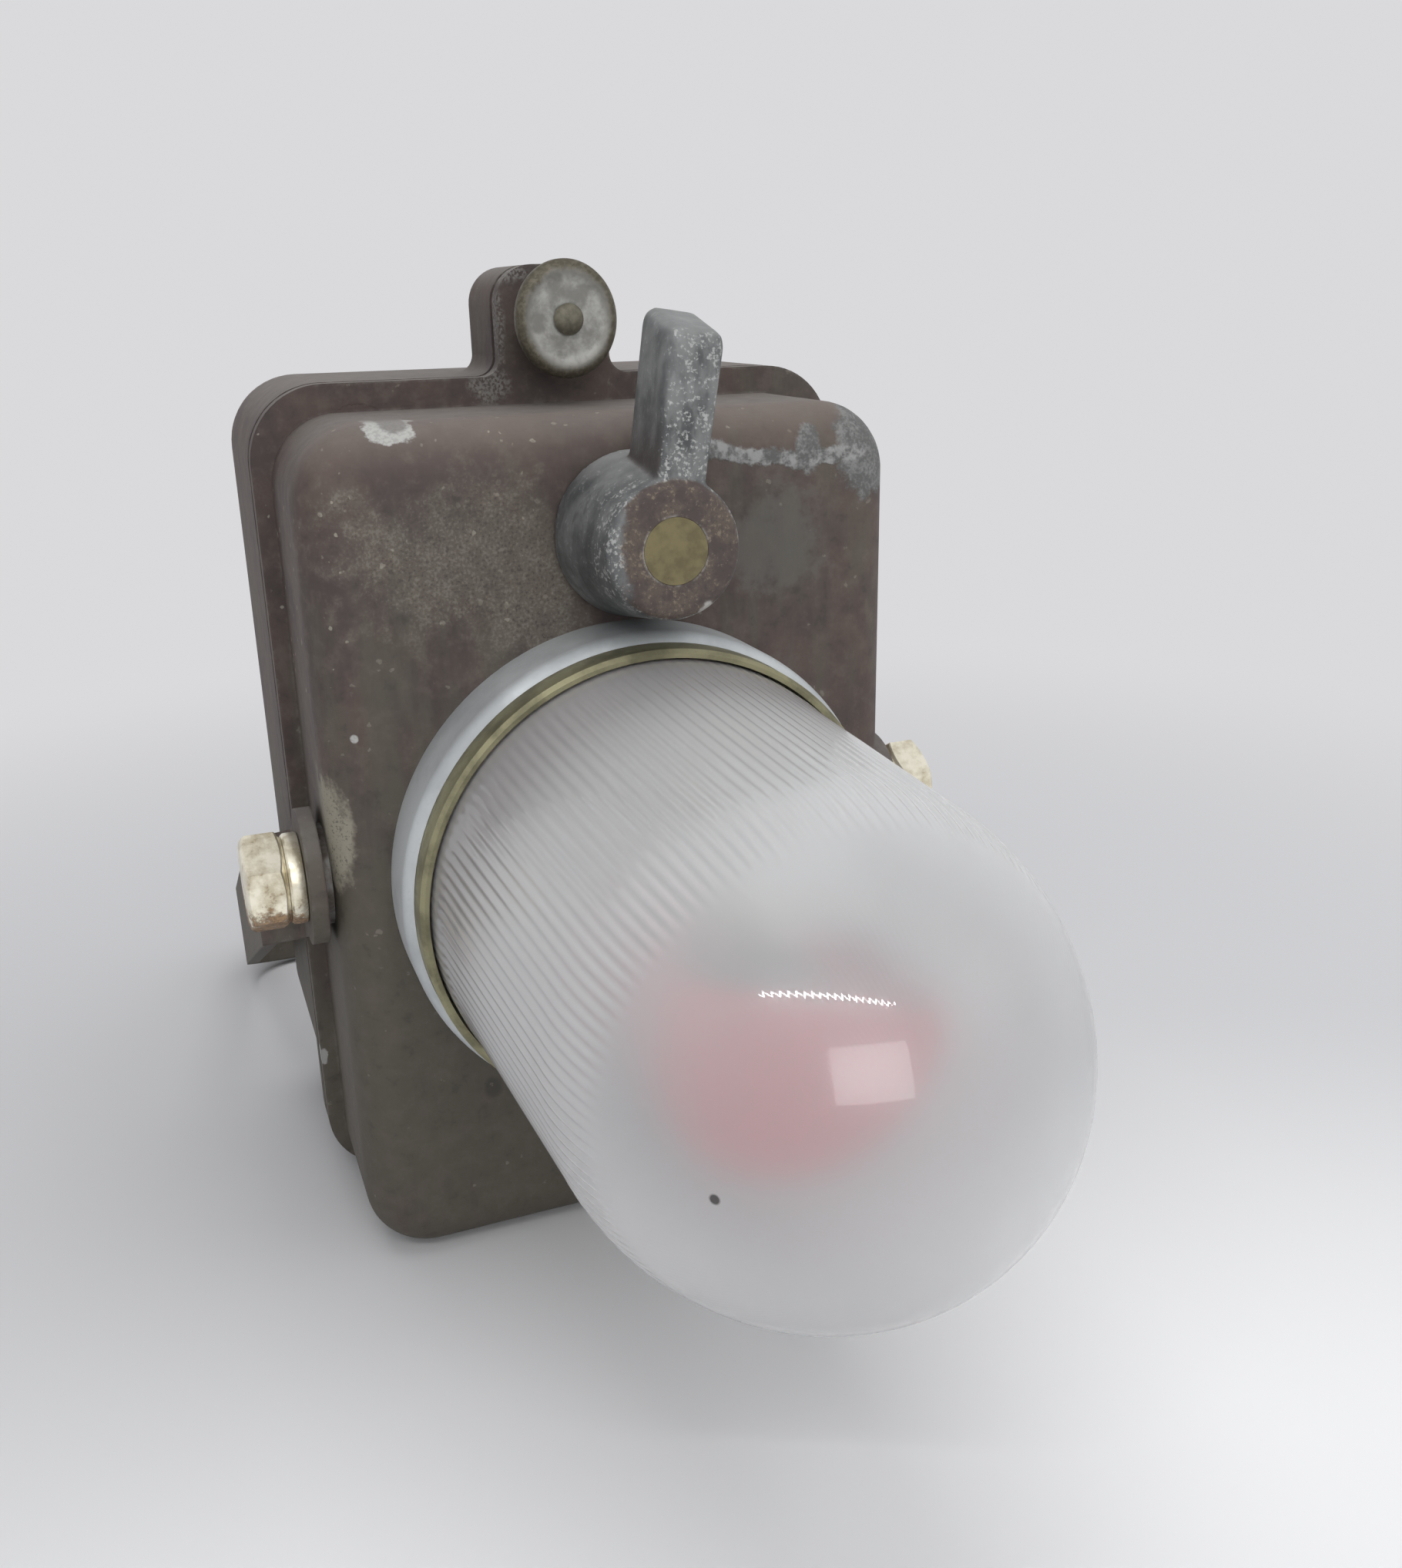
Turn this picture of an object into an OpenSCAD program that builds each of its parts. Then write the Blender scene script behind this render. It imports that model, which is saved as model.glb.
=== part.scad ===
// Battery-lit railway hand lantern: cast case, ribbed glass dome, switch lever and carrying bail.
// Millimetres. +Z is up, the light points along -Y, and the case stands on z = 0.

/* [Front housing] */
// Width of the front housing
housing_w = 93; // [88:1:110]
// Height of the front housing
housing_h = 134.5; // [132:0.5:155]
// Depth of the front housing from its face to its flange
housing_depth = 30; // [26:1:40]
// Distance of the face in front of the origin
face_out = 18; // [10:1:30]
// Wall thickness of the front housing
housing_wall = 3; // [2:0.5:4]
// Radius of the housing's corners, seen from the front
housing_corner_r = 11; // [8:0.5:14]
// Radius of the rounded shoulder round the face
shoulder_r = 7; // [4:0.5:7.5]
// Overhang of the flange at the sides
flange_lip = 2.8; // [1.5:0.1:4]
// Overhang of the flange at the top
flange_top_lip = 4.4; // [2:0.1:6]
// Thickness of the flange
flange_t = 3; // [2:0.5:5]
// Radius of the corners of the flange and of the battery box
flange_corner_r = 12; // [9:0.5:15]
// Thickness of the seal between the two halves of the case
case_seal_t = 1.5; // [1:0.25:3]

/* [Rear case] */
// Depth of the battery box behind its plate
rear_depth = 35; // [32:1:50]
// Thickness of the rear case's plate
rear_plate_t = 3; // [2:0.5:5]
// Wall thickness of the battery box
rear_wall = 2.5; // [2:0.25:4]
// Height of the battery box's underside
rear_floor_z = 13.4; // [8:0.2:20]
// Radius of the battery box's back edges
rear_edge_r = 6; // [4:0.5:8]

// Distance of each foot hook from the middle
hook_x = 28; // [20:1:34]
// Width of the foot hooks
hook_w = 10; // [6:0.5:14]
// Thickness of the foot hooks and of the cleats they hold on to
hook_t = 2; // [1.5:0.25:3]

/* [Closing lugs and screw] */
// Width of the closing lugs
lug_w = 18.4; // [16:0.2:24]
// Height of the lugs above the flange
lug_rise = 16.9; // [14:0.1:22]
// Radius of the lugs' upper corners
lug_corner_r = 6; // [3:0.5:8]
// Length of the rear lug
rear_lug_len = 14.9; // [8:0.1:20]
// Fillet at the foot of each lug
lug_fillet_r = 3; // [1:0.5:5]
// Height of the closing screw above the flange
screw_rise = 8.6; // [7:0.1:10]
// Radius of the closing screw
screw_r = 2.5; // [2:0.5:3]
// Half of the thumb knob's width
knob_r = 8.2; // [6:0.1:9]
// How much taller than wide the thumb knob is
knob_stretch = 1.5; // [0:0.1:4]
// Thickness of the thumb knob
knob_t = 2.7; // [2:0.1:4]
// Radius of the knob's neck
neck_r = 5; // [4:0.25:6]
// Length of the knob's neck
neck_len = 6; // [2:0.5:9]
// Radius of the rivet that holds the knob
rivet_r = 2.4; // [2:0.1:3]
// Height of the rivet's head
rivet_h = 1.1; // [0.5:0.1:2]

/* [Bezel and glass] */
// Distance of the light axis below the housing's top
axis_drop = 68.9; // [64:0.1:74]
// Outer radius of the bezel collar
collar_r = 38.5; // [36:0.5:41]
// Height of the bezel collar above the face
collar_h = 10.9; // [9:0.1:14]
// Wall of the bezel collar
collar_wall = 1.4; // [1:0.1:2]
// Thickness of the ledge that carries the glass
ledge_t = 1.5; // [1:0.25:3]
// Width of the ledge inside the glass wall
ledge_lip = 1.5; // [1:0.25:3]
// Wall of the spigot behind the ledge
spigot_wall = 2; // [1.5:0.25:3]
// Length of the spigot through the face
spigot_len = 8; // [6:0.5:10]
// Width of the lock ring behind the face
lock_ring_w = 4; // [3:0.25:4]
// Thickness of the lock ring
lock_ring_t = 2; // [1.5:0.25:2]
// Wall of the clamp ring
clamp_wall = 1.25; // [1:0.05:2]
// How far the clamp ring stands out of the collar
clamp_out = 4.4; // [3:0.1:7]
// Thickness of the glass seal
glass_seal_t = 1.5; // [1:0.25:3]
// Thickness of the bead at the foot of the glass
bead_t = 3; // [2:0.25:4]
// Wall of the glass dome
glass_wall = 3; // [2:0.25:4]
// Loss of radius along the straight part of the glass
glass_draft = 2.4; // [0:0.1:4]
// Height above the face where the glass starts to close
glass_straight_h = 63; // [50:1:75]
// Height of the glass tip above the face
glass_tip_h = 101; // [92:1:115]

/* [Lamp] */
// Thickness of the lamp plate
lamp_plate_t = 1.5; // [1:0.25:3]
// Radius of the lamp post
post_r = 7; // [6:0.25:8]
// Wall of the lamp post
post_wall = 1.4; // [1:0.1:2]
// Height of the lamp post's end above the face
post_h = 34; // [28:1:46]
// Outer radius of the lamp socket
socket_r = 8.5; // [8:0.25:10]
// Length of the lamp socket
socket_len = 14; // [12:0.5:16]
// Radius of the bulb's screw cap
bulb_cap_r = 4.8; // [4:0.1:5.5]
// Length of the bulb's screw cap
bulb_cap_len = 12.5; // [12:0.5:14]
// Radius of the bulb's globe
bulb_r = 7.5; // [6:0.25:9]
// Outer radius of the red filter cup
filter_r = 20; // [16:0.5:21]
// Wall of the red filter cup
filter_wall = 1.2; // [0.8:0.1:2]
// Length of the red filter cup
filter_len = 26; // [24:1:34]
// Height of the filter's straight edge above the light axis
filter_cut = 6; // [4:0.5:12]
// Turn of the filter's straight edge about the light axis
filter_turn = 18; // [0:1:45]
// Thickness of the reflector disc
reflector_t = 0.8; // [0.5:0.1:1.2]

/* [Switch lever] */
// Sideways place of the lever's shaft
lever_x = 2; // [-4:0.2:4]
// Gap between the lever's hub and the bezel collar
hub_gap = 0.6; // [0.4:0.1:4]
// Radius of the hub at its foot
hub_foot_r = 12.5; // [11:0.5:14]
// Radius of the hub at its face
hub_face_r = 9.7; // [7:0.1:11]
// Height of the hub
hub_h = 18; // [14:0.5:22]
// Radius of the lever's shaft
shaft_r = 4.7; // [3.5:0.1:5.5]
// Lean of the lever's arm to the right, in degrees
lever_lean = 9; // [-20:1:20]
// Length of the arm from the shaft to its tip
arm_len = 32; // [26:1:38]
// Width of the arm at the hub
arm_w = 6.8; // [5:0.2:9]
// Width of the arm at its tip
arm_tip_w = 8.6; // [5:0.2:11]
// Depth of the arm
arm_depth = 13; // [8:0.5:14]
// Thickness of the felt washer under the hub
felt_t = 0.5; // [0.3:0.1:1]
// Radius of the switch rotor
rotor_r = 11; // [9:0.5:12]
// Thickness of the switch rotor
rotor_t = 5; // [4:0.5:7]
// Length of the boss round the shaft, behind the face
boss_len = 4; // [2:0.5:6]

/* [Bail] */
// Distance of the side bolts behind the face
bolt_back = 13.2; // [12:0.1:16]
// Radius of the side bolts
bolt_r = 4; // [3:0.5:5]
// Width of the bolt heads across the flats
bolt_flats = 14; // [11:0.5:16]
// Height of the bolt heads
bolt_head_h = 6.3; // [4:0.1:8]
// Radius of the collars under the bolt heads
bush_r = 7.2; // [5.5:0.1:8]
// Thickness of the collars under the bolt heads
bush_t = 2.6; // [1.5:0.1:4]
// Thickness of the spacers between bail and housing
spacer_t = 1.2; // [0.6:0.1:2.5]
// Thickness of the bail's strip
bail_t = 2.5; // [2:0.25:4]
// Width of the bail's strip
bail_w = 18; // [14:0.5:24]
// Radius of the bail's round ends
bail_end_r = 10.8; // [9:0.2:14]
// Length of the bail from its pivot
bail_reach = 131; // [128:1:160]
// Outward step of the bail's arms
bail_step = 6.7; // [5:0.1:12]
// Outer radius of the bail's bends
bail_bend_r = 12; // [6:0.5:25]

/* [Battery] */
// Width of the battery
battery_w = 62; // [50:1:70]
// Height of the battery
battery_h = 67; // [55:1:75]
// Thickness of the battery
battery_t = 22; // [18:0.5:24]
// Width of the battery's strips and the contact arms
strip_w = 8; // [6:0.5:10]
// Thickness of the battery's strips and the contact arms
strip_t = 0.5; // [0.4:0.1:0.8]
// Distance of each strip from the middle
strip_x = 14; // [10:0.5:20]
// Free height of the battery's strips
strip_rise = 15; // [12:0.5:18]

/* [Clearances] */
// Radial clearance of turning and pushed-in pieces
fit_gap = 0.05; // [0.02:0.01:0.1]
// Clearance between loose neighbours
loose_gap = 0.3; // [0.2:0.05:0.5]

/* [Hidden] */
$fn = 96;
hull_fn = 32;
tiny = 0.01;

// Places along the depth of the case, measured backwards from the face
flange_back = housing_depth + flange_t;
plate_front = flange_back + case_seal_t;
plate_back = plate_front + rear_plate_t;
box_back = plate_back + rear_depth;
flange_w = housing_w + 2 * flange_lip;
flange_top = housing_h + flange_top_lip;
axis_z = housing_h - axis_drop;
lug_top = flange_top + lug_rise;
screw_z = flange_top + screw_rise;
lug_front = housing_depth;
rear_lug_back = plate_front + rear_lug_len;

// Radii of the pieces that hold the glass, from the outside in
collar_bore = collar_r - collar_wall;
clamp_r = collar_bore - fit_gap;
clamp_bore = clamp_r - clamp_wall;
glass_r = clamp_bore - loose_gap;
glass_end_r = glass_r - glass_draft;
ledge_r = glass_r - glass_wall - ledge_lip;
spigot_r = ledge_r + spigot_wall;
seal_bore = ledge_r + spigot_wall;
bead_r = clamp_r - loose_gap;
bead_foot_h = ledge_t + glass_seal_t;
bead_top_h = bead_foot_h + bead_t;
clamp_foot_h = bead_top_h + fit_gap;
clamp_top_h = collar_h + clamp_out;
collar_round = 2.6;
clamp_round = 0.6;

// Hooks of the rear case and cleats of the housing that hold the case's foot
cleat_in = 5;
cleat_back = flange_back - cleat_in;
cleat_h = 6;
hook_z = housing_wall + cleat_h + fit_gap;

// Lever and what turns with it
lever_z = axis_z + collar_r + hub_gap + hub_foot_r;
hub_foot_h = felt_t + fit_gap;
hub_face_h = hub_foot_h + hub_h;
arm_front_h = hub_face_h - 1;
arm_back_h = arm_front_h - arm_depth;
arm_drop = 2.2;
arm_root_len = 12;
tip_r = 2;
bush_wall = 2.3;
boss_back = housing_wall + boss_len;
clip_t = 1;
clip_gap = 0.2;
clip_back = boss_back + clip_gap + clip_t;
rotor_front = clip_back + loose_gap;
rotor_back = rotor_front + rotor_t;
screw_head_t = 2;
screw_head_r = 3;

// Lamp plate and its bosses
plate_depth = spigot_len + 1;
plate_boss_r = 4;
plate_half_h = lever_z - rotor_r - 2 - axis_z;
plate_half_w = housing_w / 2 - housing_wall - 2;
plate_boss_x = plate_half_w - plate_boss_r;
plate_boss_z = plate_half_h - plate_boss_r - 2;
plate_screw_r = 1.5;
bolt_boss_len = 4.5;
bolt_boss_r = bolt_r + 4;
notch_x = housing_w / 2 - housing_wall - bolt_boss_len - 1;
post_foot_r = 13;
post_foot_t = 2;
socket_bore = bulb_cap_r + loose_gap;
insulator_t = 1;
cap_foot_h = post_h + insulator_t;
cap_top_h = cap_foot_h + bulb_cap_len;
globe_h = cap_top_h + bulb_r + 1;
filter_seat = 8;
filter_foot_h = post_h + filter_seat;
filter_top_h = filter_foot_h + filter_len;
filter_bore = socket_r + loose_gap;
filter_round = 4;

// Switch contacts beside the rotor
block_w = 14;
block_h = 12;
block_depth = rotor_back - housing_wall;
block_away = 9;
block_x = rotor_r + block_away;
leaf_t = 0.4;
leaf_w = 3;

// Bail and its pivots
spacer_r = bush_r + 0.8;
bail_in = housing_w / 2 + spacer_t;
bail_out = bail_in + bail_t;
arm_in = bail_in + bail_step;
head_in = bail_out + fit_gap + bush_t;
step_start = bail_end_r + 1;
step_end = step_start + bail_step;
rest_gap = 0.2;
bail_drop = asin((axis_z - rest_gap) / norm([bail_reach, bail_w / 2])) - atan2(bail_w / 2, bail_reach);

// Battery, standing in the box
box_in_w = flange_w - 2 * rear_wall;
battery_z = rear_floor_z + rear_wall + fit_gap;
battery_back = box_back - rear_wall - loose_gap;
battery_front = battery_back - battery_t;
strap_t = 1;
strap_h = 12;
strap_leg = 12;
contact_z = battery_z + battery_h + strip_rise / 2;
strip_back = battery_front + 4;

// Frame seen from the front: x to the right, y up from the base, z forward from the face
module from_face() {
    translate([0, -face_out, 0]) rotate([90, 0, 0]) children();
}

module on_light_axis() {
    from_face() translate([0, axis_z, 0]) children();
}

module on_lever_axis() {
    from_face() translate([lever_x, lever_z, 0]) children();
}

module on_screw_axis() {
    from_face() translate([0, screw_z, 0]) children();
}

module both_sides() {
    children();
    mirror([1, 0, 0]) children();
}

// Axis of the side bolts, with z along +X
module on_bolt_axis() {
    translate([0, bolt_back - face_out, axis_z]) rotate([0, 90, 0]) children();
}

// Upright rectangle with round corners, centred on x = 0
module round_rect(w, y_low, y_high, r) {
    translate([-w / 2 + r, y_low]) square([w - 2 * r, y_high - y_low]);
    translate([-w / 2, y_low + r]) square([w, y_high - y_low - 2 * r]);
    for (x = [-w / 2 + r, w / 2 - r], y = [y_low + r, y_high - r])
        translate([x, y]) circle(r);
}

// Box from z = 0 to z = -depth with round upright corners and rounded front edges
module crowned_box(w, y_low, y_high, depth, corner_r, edge_r) {
    x_in = w / 2 - corner_r;
    low_in = y_low + corner_r;
    high_in = y_high - corner_r;
    flat_r = corner_r - edge_r;
    translate([0, 0, -depth]) linear_extrude(depth - edge_r) round_rect(w, y_low, y_high, corner_r);
    translate([0, 0, -edge_r - 1]) linear_extrude(edge_r + 1)
        round_rect(w - 2 * edge_r, y_low + edge_r, y_high - edge_r, flat_r);
    for (y = [y_low + edge_r, y_high - edge_r])
        translate([-x_in, y, -edge_r]) rotate([0, 90, 0]) cylinder(r = edge_r, h = 2 * x_in);
    for (x = [-w / 2 + edge_r, w / 2 - edge_r])
        translate([x, low_in, -edge_r]) rotate([-90, 0, 0]) cylinder(r = edge_r, h = high_in - low_in);
    for (x = [-x_in, x_in], y = [low_in, high_in])
        translate([x, y, -edge_r]) rotate_extrude() translate([flat_r, 0]) intersection() {
            circle(edge_r);
            translate([-flat_r, -edge_r]) square([flat_r + edge_r, 2 * edge_r]);
        }
}

// Outline of a closing lug with filleted feet on the surface at foot_y
module lug_outline(foot_y) {
    translate([-lug_w / 2, foot_y - tiny]) square([lug_w, lug_top - lug_corner_r - foot_y + tiny]);
    translate([-lug_w / 2 + lug_corner_r, foot_y]) square([lug_w - 2 * lug_corner_r, lug_top - foot_y]);
    for (x = [-1, 1]) {
        translate([x * (lug_w / 2 - lug_corner_r), lug_top - lug_corner_r]) circle(lug_corner_r);
        difference() {
            translate([x * (lug_w + lug_fillet_r) / 2, foot_y + lug_fillet_r / 2])
                square(lug_fillet_r, center = true);
            translate([x * (lug_w / 2 + lug_fillet_r), foot_y + lug_fillet_r]) circle(lug_fillet_r);
        }
    }
}

module ring(r_out, r_in, low, high) {
    translate([0, 0, low]) difference() {
        cylinder(r = r_out, h = high - low);
        translate([0, 0, -tiny]) cylinder(r = r_in, h = high - low + 2 * tiny);
    }
}

module front_housing() {
    color([0.33, 0.24, 0.22]) difference() {
        union() {
            from_face() difference() {
                union() {
                    crowned_box(housing_w, 0, housing_h, housing_depth + 1, housing_corner_r, shoulder_r);
                    translate([0, 0, -flange_back])
                        linear_extrude(flange_t) round_rect(flange_w, 0, flange_top, flange_corner_r);
                    translate([0, 0, -flange_back]) linear_extrude(flange_t) lug_outline(flange_top);
                }
                translate([0, 0, -flange_back - tiny])
                    linear_extrude(flange_back - housing_wall + tiny)
                    round_rect(housing_w - 2 * housing_wall, housing_wall, housing_h - housing_wall,
                               housing_corner_r - housing_wall + 1);
            }
            from_face() for (x = [-hook_x, hook_x])
                translate([x - hook_w / 2, housing_wall - 1, -cleat_back])
                cube([hook_w, cleat_h + 1, hook_t]);
            on_lever_axis() translate([0, 0, -boss_back])
                cylinder(r = shaft_r + bush_wall + 3, h = boss_len + tiny);
            on_light_axis() for (x = [-plate_boss_x, plate_boss_x], y = [-plate_boss_z, plate_boss_z])
                translate([x, y, -plate_depth]) cylinder(r = plate_boss_r, h = plate_depth - housing_wall + tiny);
            both_sides() on_bolt_axis()
                translate([0, 0, housing_w / 2 - housing_wall - bolt_boss_len])
                cylinder(r = bolt_boss_r, h = bolt_boss_len + tiny);
        }
        on_light_axis() translate([0, 0, -housing_wall - 1])
            cylinder(r = spigot_r + fit_gap, h = housing_wall + 2);
        on_lever_axis() translate([0, 0, -boss_back - 1])
            cylinder(r = shaft_r + fit_gap + bush_wall + fit_gap, h = boss_back + 2);
        on_light_axis() for (x = [-plate_boss_x, plate_boss_x], y = [-plate_boss_z, plate_boss_z])
            translate([x, y, -plate_depth - 1]) cylinder(r = plate_screw_r + fit_gap, h = plate_depth - housing_wall + 1);
        both_sides() on_bolt_axis()
            translate([0, 0, housing_w / 2 - housing_wall - bolt_boss_len - 1])
            cylinder(r = bolt_r + fit_gap, h = housing_wall + bolt_boss_len + 2);
        on_screw_axis() translate([0, 0, -flange_back - 1])
            cylinder(r = screw_r + fit_gap, h = flange_t + 2);
    }
}

// Hook that reaches over a cleat and down in front of it
module foot_hook() {
    lip_back = cleat_back - hook_t - fit_gap;
    translate([-hook_w / 2, hook_z, -plate_front - 1]) cube([hook_w, hook_t, plate_front + 1 - lip_back + hook_t]);
    translate([-hook_w / 2, housing_wall + 1, -lip_back]) cube([hook_w, hook_z + hook_t - housing_wall - 1, hook_t]);
}

module rear_case() {
    color([0.3, 0.22, 0.2]) from_face() difference() {
        union() {
            for (x = [-hook_x, hook_x]) translate([x, 0, 0]) foot_hook();
            translate([0, 0, -plate_back])
                linear_extrude(rear_plate_t) round_rect(flange_w, 0, flange_top, flange_corner_r);
            translate([0, 0, -plate_back - rear_depth]) mirror([0, 0, 1])
                crowned_box(flange_w, rear_floor_z, flange_top, rear_depth + 1, flange_corner_r, rear_edge_r);
            translate([0, 0, -rear_lug_back])
                linear_extrude(rear_lug_len) lug_outline(flange_top);
        }
        translate([0, 0, -box_back + rear_wall])
            linear_extrude(box_back - plate_front - rear_wall + 1)
            round_rect(box_in_w, rear_floor_z + rear_wall, flange_top - rear_wall, flange_corner_r - rear_wall + 1);
        translate([0, screw_z, -rear_lug_back - 1]) cylinder(r = screw_r + fit_gap, h = rear_lug_len + 2);
    }
}

module case_seal() {
    color([0.08, 0.08, 0.08]) from_face() translate([0, 0, -plate_front]) linear_extrude(case_seal_t)
        difference() {
            round_rect(flange_w - 1, 0.5, flange_top - 0.5, flange_corner_r);
            round_rect(housing_w - 2 * housing_wall, housing_wall, housing_h - housing_wall,
                       housing_corner_r - housing_wall + 1);
        }
}

module bezel_collar() {
    color([0.72, 0.75, 0.8]) on_light_axis() rotate_extrude() difference() {
        union() {
            translate([ledge_r, 0]) square([collar_r - ledge_r, ledge_t]);
            translate([collar_bore, 0]) square([collar_wall, collar_h - collar_round]);
            translate([collar_r - collar_round, collar_h - collar_round]) circle(collar_round);
            translate([ledge_r, -spigot_len]) square([spigot_wall, spigot_len + tiny]);
        }
        translate([0, ledge_t]) square([collar_bore, collar_h]);
    }
}

module bezel_lock_ring() {
    color([0.6, 0.6, 0.62]) on_light_axis()
        ring(spigot_r + lock_ring_w, spigot_r + fit_gap, -housing_wall - lock_ring_t, -housing_wall);
}

module glass_seal() {
    color([0.1, 0.1, 0.1]) on_light_axis()
        ring(collar_bore - loose_gap, seal_bore, ledge_t, bead_foot_h);
}

// Outer or inner curve of the closed end, from the straight part to the axis
function dome_end(r, h_start, h_tip, steps) =
    [for (i = [0:steps]) let (turn = 90 * i / steps) [r * cos(turn), h_start + (h_tip - h_start) * sin(turn)]];

function back_to_front(points) = [for (i = [len(points) - 1:-1:0]) points[i]];

module glass_dome() {
    end_steps = 20;
    outer = concat(
        [[bead_r, bead_foot_h], [bead_r, bead_top_h], [glass_r, bead_top_h]],
        dome_end(glass_end_r, glass_straight_h, glass_tip_h, end_steps));
    inner = concat(
        [[glass_r - glass_wall, bead_foot_h]],
        dome_end(glass_end_r - glass_wall, glass_straight_h, glass_tip_h - glass_wall, end_steps));
    color([0.9, 0.9, 0.92, 0.6]) on_light_axis() rotate_extrude()
        polygon(concat(outer, back_to_front(inner)));
}

module glass_clamp_ring() {
    color([0.55, 0.5, 0.28]) on_light_axis() rotate_extrude() polygon([
        [clamp_bore, clamp_foot_h],
        [clamp_r, clamp_foot_h],
        [clamp_r, clamp_top_h - clamp_round],
        [clamp_r - clamp_round, clamp_top_h],
        [clamp_bore, clamp_top_h]
    ]);
}

module reflector_disc() {
    color([0.85, 0.85, 0.85]) on_light_axis()
        ring(seal_bore - loose_gap, post_r + loose_gap, ledge_t, ledge_t + reflector_t);
}

module lamp_plate() {
    color([0.35, 0.25, 0.15]) on_light_axis() difference() {
        translate([0, 0, -plate_depth - lamp_plate_t])
            linear_extrude(lamp_plate_t) round_rect(2 * plate_half_w, -plate_half_h, plate_half_h, plate_boss_r);
        for (x = [-plate_boss_x, plate_boss_x], y = [-plate_boss_z, plate_boss_z])
            translate([x, y, -plate_depth - lamp_plate_t - 1])
                cylinder(r = plate_screw_r + loose_gap, h = lamp_plate_t + 2);
        for (x = [-1, 1]) translate([x * (notch_x + plate_half_w), 0, -plate_depth])
            cube([2 * plate_half_w, 2 * bolt_boss_r + 2, 4 * lamp_plate_t], center = true);
    }
}

module plate_screws() {
    color([0.7, 0.65, 0.45]) on_light_axis()
        for (x = [-plate_boss_x, plate_boss_x], y = [-plate_boss_z, plate_boss_z])
            translate([x, y, -plate_depth - lamp_plate_t]) {
                cylinder(r = plate_screw_r, h = lamp_plate_t + plate_depth - housing_wall - 1);
                translate([0, 0, -screw_head_t]) cylinder(r = screw_head_r, h = screw_head_t);
            }
}

module lamp_post() {
    color([0.75, 0.75, 0.75]) on_light_axis() {
        ring(post_foot_r, post_r - post_wall, -plate_depth, -plate_depth + post_foot_t);
        ring(post_r, post_r - post_wall, -plate_depth, post_h);
    }
}

module lamp_socket() {
    color([0.7, 0.6, 0.3]) on_light_axis() ring(socket_r, socket_bore, post_h, post_h + socket_len);
}

module socket_insulator() {
    color([0.4, 0.2, 0.1]) on_light_axis()
        translate([0, 0, post_h]) cylinder(r = socket_bore - fit_gap, h = insulator_t);
}

module bulb_cap() {
    color([0.75, 0.68, 0.4]) on_light_axis() translate([0, 0, cap_foot_h])
        cylinder(r = bulb_cap_r, h = bulb_cap_len);
}

module bulb_globe() {
    neck_r = bulb_cap_r - 0.5;
    color([0.95, 0.95, 0.9, 0.5]) on_light_axis() {
        translate([0, 0, cap_top_h]) cylinder(r = neck_r, h = globe_h - cap_top_h);
        translate([0, 0, globe_h]) sphere(bulb_r);
    }
}

module red_filter() {
    color([0.8, 0.1, 0.1, 0.8]) on_light_axis() difference() {
        rotate_extrude() difference() {
            union() {
                translate([0, filter_foot_h]) square([filter_r, filter_len - filter_round]);
                translate([0, filter_foot_h]) square([filter_r - filter_round, filter_len]);
                translate([filter_r - filter_round, filter_top_h - filter_round]) circle(filter_round);
            }
            translate([0, filter_foot_h + filter_wall])
                square([filter_r - filter_wall, filter_len - 2 * filter_wall - filter_round]);
            translate([0, filter_foot_h + filter_wall])
                square([filter_r - filter_round, filter_len - 2 * filter_wall]);
            translate([filter_r - filter_round, filter_top_h - filter_round])
                circle(filter_round - filter_wall);
            translate([0, filter_foot_h - 1]) square([filter_bore, filter_wall + 2]);
        }
        rotate([0, 0, -filter_turn]) translate([-filter_r - 1, filter_cut, filter_foot_h - 1])
            cube([2 * filter_r + 2, filter_r, filter_len + 2]);
    }
}

module switch_lever() {
    tip_x = arm_tip_w / 2 - tip_r;
    color([0.42, 0.4, 0.4]) on_lever_axis() difference() {
        union() {
            translate([0, 0, hub_foot_h]) cylinder(r1 = hub_foot_r, r2 = hub_face_r, h = hub_h);
            rotate([0, 0, -lever_lean]) hull() {
                translate([-arm_w / 2, 0, arm_back_h]) cube([arm_w, arm_root_len, arm_depth]);
                for (x = [-tip_x, tip_x]) {
                    translate([x, arm_len - tip_r, arm_back_h + tip_r]) sphere(tip_r, $fn = hull_fn);
                    translate([x, arm_len - tip_r - arm_drop, arm_front_h - tip_r]) sphere(tip_r, $fn = hull_fn);
                }
            }
        }
        translate([0, 0, -1]) cylinder(r = shaft_r + fit_gap, h = hub_face_h + 2);
    }
}

module lever_shaft() {
    color([0.65, 0.55, 0.25]) on_lever_axis() difference() {
        translate([0, 0, -rotor_back]) cylinder(r = shaft_r, h = rotor_back + hub_face_h);
        translate([0, 0, -rotor_back - 1]) cylinder(r = plate_screw_r + fit_gap, h = rotor_t + 1);
        ring(shaft_r + 1, shaft_r - 1, -clip_back, -boss_back - clip_gap);
    }
}

module shaft_bush() {
    color([0.6, 0.5, 0.25]) on_lever_axis()
        ring(shaft_r + fit_gap + bush_wall, shaft_r + fit_gap, -boss_back, 0);
}

module felt_washer() {
    color([0.2, 0.2, 0.2]) on_lever_axis() ring(hub_foot_r - 1, shaft_r + loose_gap, 0, felt_t);
}

module shaft_clip() {
    clip_r = shaft_r + 2;
    color([0.5, 0.5, 0.52]) on_lever_axis() difference() {
        ring(clip_r, shaft_r - 1 + fit_gap, -clip_back + fit_gap, -boss_back - clip_gap - fit_gap);
        translate([-shaft_r + 2, 0, -clip_back - 1]) cube([2 * shaft_r - 4, clip_r + 1, clip_t + 2]);
    }
}

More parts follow.
